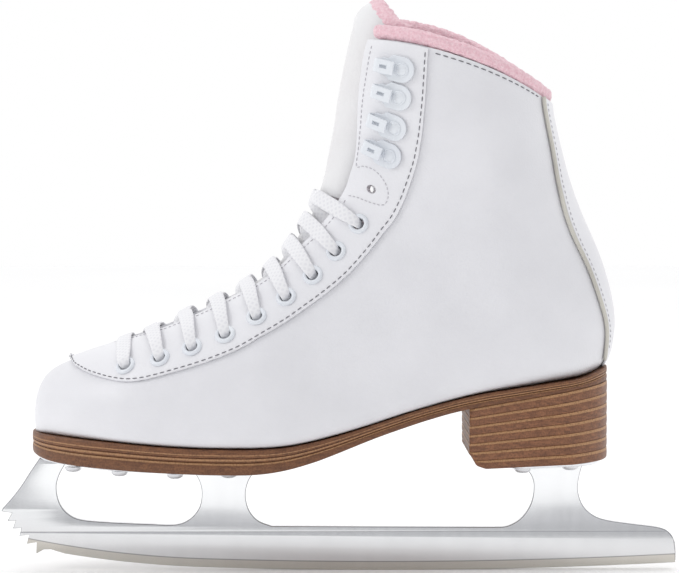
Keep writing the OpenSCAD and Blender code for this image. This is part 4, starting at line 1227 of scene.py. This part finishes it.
SOLE_GAP, SEAT_GAP = 0.35, 0.1
SOLE_UNDER = np.array([
    [-135.2, 52.4], [-127, 50.2], [-116, 48.9], [-95, 47.6], [-73, 46.7], [-52, 46.2],
    [-36, 46.3], [-24, 47.8], [-12, 50.9], [-2, 54.4], [14, 60.6], [26, 64.8], [39, 69],
    [54, 73], [80, 77.7], [100, 81], [118, 84]])
PLAN = {
    LATERAL: [[-134.9, 6], [-133.4, -4.5], [-128, -15], [-114, -26.5], [-95, -34.2], [-72, -39.5],
              [-48, -41.6], [-22, -39.6], [5, -35], [32, -32], [60, -31.8], [84, -32],
              [100, -28.6], [112, -18.5], [117, -5.5]],
    MEDIAL: [[-133.4, 16], [-128, 23.5], [-114, 31.5], [-95, 38], [-72, 41.6], [-48, 40.6],
             [-22, 36], [5, 31.4], [32, 29.6], [60, 30.6], [84, 31.8], [100, 28.6],
             [112, 18.5], [117, 5.5]]}
OUTSOLE_SHARE = 0.52


def sole_over_points():
    t = np.arange(2, 12.01, 0.5)
    s = through(STATIONS, t)
    return np.vstack([[[-135.2, 61]], np.stack([s[:, 0], s[:, 1] - SOLE_GAP], 1), [[118, 90]]])


UNDER_LINE, OVER_LINE = curve(SOLE_UNDER, 8), curve(sole_over_points(), 6)


def under_z(x):
    return np.interp(x, UNDER_LINE[:, 0], UNDER_LINE[:, 1])


def over_z(x):
    return np.interp(x, OVER_LINE[:, 0], OVER_LINE[:, 1])


def split_z(x):
    return mix(under_z(x), over_z(x), OUTSOLE_SHARE)


def plan_loop(step=1.2):
    """The sole's outline, anticlockwise, as an even smooth loop."""
    loop = np.array(PLAN[LATERAL] + PLAN[MEDIAL][::-1], float)
    count = len(loop)
    closed = np.vstack([loop[-3:], loop, loop[:4]])
    t = np.linspace(3, 3 + count, count * 14, endpoint=False)
    even = even_loop(through(closed, t), step)
    kernel = bell(3)
    kernel /= kernel.sum()
    reach = len(kernel) // 2
    padded = np.vstack([even[-reach:], even, even[:reach]])
    return np.stack([np.convolve(column, kernel, "valid") for column in padded.T], 1)


def cap(build, ring, height, share, up):
    """Closes a loop with rings drawn towards its spine, following a height function."""
    shrink, short = 9, 12
    x = ring[:, 0]
    spine = np.column_stack([np.clip(x, x.min() + short, x.max() - short), np.zeros(len(x))])
    rings = [mix(ring, spine, k / shrink) for k in range(shrink + 1)]
    points = np.array([np.column_stack([r, height(r, share)]) for r in rings])
    build.grid(points, around=True, flip=not up)


def layered(build, loop, low, high, profile):
    """A slab between two height functions. The profile is height shares and insets."""
    def height(ring, share):
        return mix(low(ring[:, 0]), high(ring[:, 0]), share)

    rings = [(inset(loop, size) if size else loop, share) for share, size in profile]
    along = lengths(np.vstack([loop, loop[:1]]))[:-1]
    points = np.array([np.column_stack([ring, height(ring, share)]) for ring, share in rings])
    uvs = np.array([np.column_stack([along, np.full(len(loop), share)]) for _, share in rings])
    build.grid(points, uvs, around=True)
    cap(build, rings[-1][0], height, rings[-1][1], True)
    cap(build, rings[0][0], height, rings[0][1], False)


def slab_piece(name, look, slot, node, low, high, profile, loop):
    build = Build()
    layered(build, loop, low, high, profile)
    return stands_for(build.piece(name, look, weld=0.02, angle=50), slot, node)


def rounded_wall(bulge, corner, groove=()):
    """Shares and insets of a wall that bulges a little between two rounded corners."""
    shares = np.array([0, 0.02, 0.06, 0.12, 0.3, 0.5, 0.7, 0.88, 0.94, 0.98, 1.0])
    rim = [corner, corner * 0.5, corner * 0.16, 0.02, 0]
    rows = list(zip(shares, np.array(rim + [0] + rim[::-1]) + bulge * (2 * shares - 1) ** 2))
    for at, depth in groove:
        flush = bulge * (2 * at - 1) ** 2
        rows += [(at - 0.03, flush), (at, depth), (at + 0.03, flush)]
    return sorted(rows)


def soles():
    slab_piece("outsole_layer", SOLE_DARK, "sole_dark", "outsole", under_z,
               lambda x: split_z(x) - 0.04, rounded_wall(0.25, 0.7), plan_loop())
    slab_piece("midsole_layer", SOLE_LIGHT, "sole_light", "midsole", split_z,
               lambda x: over_z(x) + SOLE_GAP + 0.15,
               rounded_wall(0.2, 0.35, [(0.34, 0.4)]), plan_loop())


HEEL_UNDER = np.array([[55.8, 53.6], [58.6, 48.8], [62.6, 47.4], [116.8, 50]])
HEEL_BREAST_X, HEEL_REAR_X = 55.5, 116.8
LIFTS = 7
HEEL_W, HEEL_BOTTOM_W = 64, 56


def heel_base(x):
    return np.interp(x, HEEL_UNDER[:, 0], HEEL_UNDER[:, 1])


def lift_line(x, f):
    return mix(np.interp(x, [50, HEEL_REAR_X], [46.8, 50]), under_z(x), f)


def heel_loop(z_mean):
    """The heel's outline at a height: the sole's, cut at the breast and tapered in width."""
    half = mix(HEEL_BOTTOM_W / 2, HEEL_W / 2, (z_mean - 44) / 42)
    loop = plan_loop(0.8)
    back = loop[loop[:, 0] > HEEL_BREAST_X + 1.5]
    start = np.argmin(np.where(back[:, 1] < 0, back[:, 0], 1e9))
    back = np.roll(back, -start, 0)
    back = np.column_stack([back[:, 0], np.clip(back[:, 1], -half, half)])
    across = np.linspace(back[-1, 1] - 1.5, back[0, 1] + 1.5, 40)
    front = np.column_stack([np.full(40, HEEL_BREAST_X), across])
    return even_loop(np.vstack([back, front]), 0.8)


def heel():
    """The stacked lifts, each with a slightly proud rounded edge."""
    build = Build()
    for i in range(LIFTS):
        low_f, high_f = i / LIFTS, (i + 1) / LIFTS

        def low(x, f=low_f):
            return np.maximum(lift_line(x, f), heel_base(x))

        def high(x, f=high_f):
            return np.maximum(lift_line(x, f) - 0.03, heel_base(x) + 0.2)

        z_mean = float(lift_line(85, 0.5 * (low_f + high_f)))
        layered(build, heel_loop(z_mean), low, high, rounded_wall(0.12, 0.22))
    piece = build.piece("heel_stack", HEEL, weld=0.01, angle=50)
    return stands_for(piece, "heel_stack", "heel_lifts")


def footbed():
    loop = inset(plan_loop(), 9.5)
    loop = loop[(loop[:, 0] > -124) & (loop[:, 0] < 101)]

    def low(x):
        return over_z(np.clip(x, -133, 117)) + SOLE_GAP + 6.25

    def high(x):
        return low(x) + 3.1

    piece = slab_piece("padded_footbed", FOOTBED, "footbed", "footbed", low, high,
                       rounded_wall(0.3, 0.9), loop)
    return piece


# ---- Blade, plates and screws ----

PLATE_T = 1.8
RUNNER_T, STANCHION_T = 4.0, 3.7
TOE_PLATE_X, HEEL_PLATE_X = (-132.6, -35.5), (73.6, 112.9)
TOE_PLATE_W, HEEL_PLATE_W = 48, 40
TOE_SCREWS = [[-124.5, 6.4], [-115.5, 16], [-115.5, -11], [-95, 19], [-95, -16], [-71, 18],
              [-71, -18], [-48, 11], [-48, -11]]
HEEL_SCREWS = [[79.5, 13], [79.5, -13], [100.5, 11], [100.5, -11]]


def running_edge(x):
    rocker = ROCKER_R - np.sqrt(ROCKER_R ** 2 - (x - ROCKER_X) ** 2)
    return rocker + TOE_RISE * np.maximum(TOE_RISE_X - x, 0) ** 2


def toe_plate_z(x):
    return under_z(x) - PLATE_T


def heel_plate_z(x):
    return heel_base(x) - PLATE_T


PICK_TIPS = np.array([[-132.8, 7.4], [-136.9, 11.7], [-140.2, 15.1], [-143, 18.4],
                      [-145.4, 21.7], [-148, 26]])
PICK_VALLEYS = np.array([[-132.6, 12.4], [-135.9, 15.7], [-139.3, 18.6], [-141.8, 21.9],
                         [-143.4, 25.3]])
BEHIND_PICKS = np.array([[-126.4, 9.3], [-129.6, 9.2], [-131.4, 8.2]])
RUNNER_STEP = 17
SMOOTH = 8


def blade_lines():
    """The blade's outline, anticlockwise, and its front window, clockwise."""
    plate = toe_plate_z
    picks = np.vstack([*np.stack([PICK_TIPS[:-1], PICK_VALLEYS], 1), PICK_TIPS[-1:]])
    front = curve([[-147.4, 27.4], [-142.8, 32.6], [-139, 37.6], [-135.4, 43.2],
                   [-131.2, plate(-131.2)]], SMOOTH)
    top = np.arange(-128, -39, 2.0)
    ball = curve([[-36.4, plate(-36.4)], [-39.8, 39], [-41, 33], [-39.6, 26.6],
                  [-35.6, 21.8], [-29.5, 19.3]], SMOOTH)
    ahead = curve([[68, 18.8], [74, 19.3], [79.8, 22.6], [84, 28.6], [85.5, 35.5], [84.6, 41],
                   [80.6, heel_plate_z(80.6)]], SMOOTH)
    behind = curve([[107.2, heel_plate_z(107.2)], [105.2, 40], [105, 34], [107.2, 28.2],
                    [111.6, 24], [117.5, 21.8], [128, 20.2], [140, 18.6], [144.8, 16.6],
                    [147.3, 12.8], [147.9, 8], [147.9, 4.2]], SMOOTH)
    edge_x = np.linspace(147.9, -120.5, 180)[1:]
    outline = np.vstack([
        picks, front, np.column_stack([top, plate(top)]), ball, ahead, behind,
        np.column_stack([edge_x, running_edge(edge_x)]),
        BEHIND_PICKS])
    window = curve([[-119.6, plate(-119.6)], [-122.6, 42], [-123.9, 36.5], [-122.6, 29.8],
                    [-119, 25], [-113, 22.2], [-100, 21], [-84, 20.3], [-72, 20], [-65.6, 22.4],
                    [-61.4, 27.4], [-60.2, 33.5], [-61.2, 39], [-64.4, plate(-64.4)]], SMOOTH)
    return outline[::-1], window


def turned(loop, anticlockwise):
    x, y = loop.T
    area = np.sum(x * np.roll(y, -1) - np.roll(x, -1) * y)
    return loop if (area > 0) == anticlockwise else loop[::-1]


def blade():
    def place(p):
        return np.column_stack([p[:, 0], -p[:, 2], p[:, 1]])

    outline, window = blade_lines()
    build = Build()
    prism(build, [turned(outline, True), turned(window, False)], STANCHION_T / 2, 0.4, place)
    x = np.linspace(147.7, -120.5, 200)
    low_picks = np.vstack([PICK_TIPS[0], PICK_VALLEYS[0], PICK_TIPS[1], PICK_VALLEYS[1],
                           PICK_TIPS[2]])
    strip = np.vstack([
        np.column_stack([x, running_edge(x)]), BEHIND_PICKS, low_picks,
        [[-139.6, RUNNER_STEP], [144.2, RUNNER_STEP], [147, 13.4], [147.7, 8]]])
    prism(build, [turned(strip, True)], RUNNER_T / 2, 0.15, place)
    piece = build.piece("skate_blade", BLADE, weld=0.005, angle=35)
    return stands_for(piece, "blade_steel", "blade")


def hull(circles, count=40):
    """The outline round some circles, each x, y, radius and share along x."""
    a = np.linspace(0, 2 * np.pi, count, endpoint=False)
    points = np.vstack([np.column_stack([x + s * r * np.cos(a), y + r * np.sin(a)])
                        for x, y, r, s in circles])
    points = points[np.lexsort(points.T[::-1])]
    halves = []
    for order in (points, points[::-1]):
        chain = []
        for p in order:
            while len(chain) > 1 and np.cross(chain[-1] - chain[-2], p - chain[-2]) <= 1e-6:
                chain.pop()
            chain.append(p)
        halves.append(chain[:-1])
    return even_loop(np.array(halves[0] + halves[1]), 1.0)


def plates():
    x0, x1 = TOE_PLATE_X
    toe = hull([(x0 + 9, 3, 9, 1), (-92, 2, TOE_PLATE_W / 2, 1), (-70, 0, TOE_PLATE_W / 2, 1),
                (x1 - 13, 0, 17.3, 0.75)])
    h0, h1 = HEEL_PLATE_X
    heel_corners = hull([(x, s * (HEEL_PLATE_W / 2 - r), r, 1)
                         for x, r in ((h0 + 8, 8), (h1 - 11, 11)) for s in (-1, 1)])
    wall = [(0, 0.5), (0.06, 0.22), (0.2, 0.04), (0.35, 0), (0.8, 0), (0.94, 0.1), (1, 0.3)]
    for name, node, loop, low, seat in (
            ("toe_sole_plate", "toe_plate", toe, toe_plate_z, SEAT_GAP),
            ("heel_sole_plate", "heel_plate", heel_corners, heel_plate_z, 0.02)):
        slab_piece(name, CHROME, "plate_steel", node, low,
                   lambda x, low=low, seat=seat: low(x) + PLATE_T - seat, wall, loop)


def screws(name, node, places, seat):
    build = Build()
    profile = [(0.01, -1.1), (0.9, -1.1), (1.15, -2.05), (1.5, -2.22), (2.2, -2.05), (2.9, -1.7),
               (3.4, -1.25), (3.6, -0.85), (3.6, 0), (2, 0), (2, 6)]
    for x, y in places:
        origin = np.array([x, y, seat(x)])
        lathe(build, profile, origin, *np.eye(3), 32)
    piece = build.piece(name, SCREW, weld=0.03, angle=40)
    return stands_for(piece, "screw_steel", node)


# ---- Stitches ----

def stitches(build, line, normals, length, gap, thickness, proud=0.35):
    """Short thread capsules along a line that lies on the surface."""
    line, normals = resampled(line, 0.3, normals)
    steps = lengths(line)
    place = gap
    shape = np.array([[-0.5, 0.05], [-0.44, 0.6], [-0.3, 0.92], [0, 1], [0.3, 0.92], [0.44, 0.6],
                      [0.5, 0.05]])
    a = np.linspace(0, 2 * np.pi, 8, endpoint=False)
    while place + length < steps[-1]:
        middle = place + length / 2
        p = at_places(middle, steps, line)
        n = unit(at_places(middle, steps, normals))
        x = unit(at_places(middle + 0.4, steps, line) - p)
        y = unit(np.cross(n, x))
        rise = thickness * proud * (1 - (2 * shape[:, 0]) ** 2)
        points = (p + shape[:, :1, None].reshape(-1, 1, 1) * length * x
                  + (rise[:, None, None] * n)
                  + shape[:, 1].reshape(-1, 1, 1) * thickness / 2
                  * (np.cos(a)[None, :, None] * y + np.sin(a)[None, :, None] * n))
        build.grid(points, around=True, caps=True)
        place += length + gap


def seam_threads():
    """The dark rows along the facing's seam and under the collar. Their dark grey is partly the
    thread's own grey and partly painted shade of the stitch holes.
    """
    build = Build()
    t = seam_rows(500, 19.8)
    inner = np.maximum(seam_angle(t) - 1.3, 0)
    both = np.concatenate([t[::-1], t]) + 0.025
    stitches(build, *on_surface(both, np.concatenate([-inner[::-1], inner]), FACING_OUT),
             2.2, 0.9, 0.46)
    th = wrapped(np.linspace(80, 280, 260))
    for side in (MEDIAL, LATERAL):
        part = th[(np.abs(th) < 148) & (th * side > 0)]
        stitches(build, *on_surface(np.full(len(part), 19.78), part, 0.02), 2.4, 1.0, 0.48)
    return stands_for(build.piece("seam_threads_with_painted_shade", THREAD_WITH_PAINTED_HOLE_SHADE), "upper_leather")


NOTCH_LOOP = np.array([[13.51, 35.8], [13.85, 41], [13.9, 47], [13.55, 51.5], [12.95, 52.6],
                       [12.4, 50.5], [12.1, 45], [11.9, 39], [11.62, 33.5]])
NOTCH_ROW = np.array([[19.78, 43], [17.66, 40.4], [15.95, 38.5], [14.81, 37.2], [13.96, 36],
                      [13.51, 35.8]])


def throat_threads():
    """The fine rows near the throat's edge, round the notch and beside the backstay."""
    build = Build()
    low, high, back = [np.linspace(*rows) for rows in ((3.95, 11.5, 260), (13.5, 19.7, 200),
                                                       (12.5, 19.8, 160))]
    hooks_row = np.interp(high, NOTCH_ROW[::-1, 0], NOTCH_ROW[::-1, 1])
    loop_t, loop_row = curve(NOTCH_LOOP, 12).T
    for side in SIDES:
        for t, th, depth, length, gap, thickness in (
                (low, edge(low, side) + 3.2, FACING_OUT, 1.5, 0.7, 0.4),
                (high, hooks_row, FACING_OUT, 1.6, 0.7, 0.42),
                (loop_t, loop_row, FACING_OUT, 1.4, 0.6, 0.42),
                (back, backstay_angle(back) + 4.6, BACKSTAY_OUT, 1.5, 0.9, 0.4)):
            stitches(build, *on_surface(t, side * th, depth), length, gap, thickness)
    return stands_for(build.piece("throat_edge_threads", PALE_THREAD), "facing_leather")


# ---- Studio ----

FLOOR_HALF = 4.0


def add_floor():
    corners = [(x * FLOOR_HALF, y * FLOOR_HALF, 0) for x, y in ((-1, -1), (1, -1), (1, 1), (-1, 1))]
    mesh = bpy.data.meshes.new("studio_floor")
    mesh.from_pydata(corners, [], [(0, 1, 2, 3)])
    floor = bpy.data.objects.new("studio_floor", mesh)
    bpy.context.scene.collection.objects.link(floor)
    look = Look("studio_floor", (0.93, 0.93, 0.93), 0.9)
    look.coloured(look.noise(2, 2), (0.3, (0.92, 0.92, 0.92)), (0.7, (0.94, 0.94, 0.94)))
    look.set(Emission_Color=(1, 1, 1, 1), Emission_Strength=0.13)
    mesh.materials.append(look.material)


def add_light(name, place, size, power, aim=(0, 0, 0.12)):
    data = bpy.data.lights.new(name, "AREA")
    data.size, data.energy = size, power
    light = bpy.data.objects.new(name, data)
    bpy.context.scene.collection.objects.link(light)
    light.location = place
    light.rotation_euler = (Vector(aim) - Vector(place)).to_track_quat("-Z", "Y").to_euler()


def add_studio():
    """A white studio that is darker low down on the viewer's side, so that metal shows shape."""
    world = bpy.data.worlds.new("studio")
    world.use_nodes = True
    tree = world.node_tree
    places, split, ramp, share = [tree.nodes.new("ShaderNode" + kind) for kind in
                                  ("TexCoord", "SeparateXYZ", "ValToRGB", "MapRange")]
    for element, place, colour in zip(ramp.color_ramp.elements, (0.0, 0.45),
                                      ((0.55, 0.55, 0.57, 1), (1, 1, 1, 1))):
        element.position, element.color = place, colour
    share.inputs["From Min"].default_value = -1
    tree.links.new(places.outputs["Generated"], split.inputs["Vector"])
    tree.links.new(split.outputs["Y"], share.inputs["Value"])
    tree.links.new(share.outputs["Result"], ramp.inputs["Fac"])
    tree.links.new(ramp.outputs["Color"], tree.nodes["Background"].inputs["Color"])
    bpy.context.scene.world = world
    add_light("key", (-1.3, -0.55, 1.0), 0.6, 4.5)
    add_light("top", (0.2, 0.3, 1.3), 0.9, 2.5)
    add_floor()
    bpy.context.scene.view_settings.view_transform = "Standard"


def main():
    for side in SIDES:
        lace_end(side)
    lace_run()
    upper()
    facing()
    backstay()
    piping()
    stiffening()
    tongue_lower()
    tongue_layer("tongue_outer", TONGUE, "tongue_leather", "tongue_upper", 0, 1.6, 0, 1)
    tongue_layer("tongue_fleece", FLEECE, "fleece", "tongue_upper_lining", 1.65, 4.2, 0.2, 2)
    tongue_rim()
    collar()
    for side in SIDES:
        lining(side)
        eyelets(side)
        hooks(side)
        rivets(side)
    soles()
    heel()
    footbed()
    blade()
    plates()
    screws("toe_screw_heads", "toe_plate_screws", TOE_SCREWS, lambda x: toe_plate_z(x) - 0.4)
    screws("heel_screw_heads", "heel_plate_screws", HEEL_SCREWS, lambda x: heel_plate_z(x) - 0.2)
    seam_threads()
    throat_threads()
    add_studio()


main()
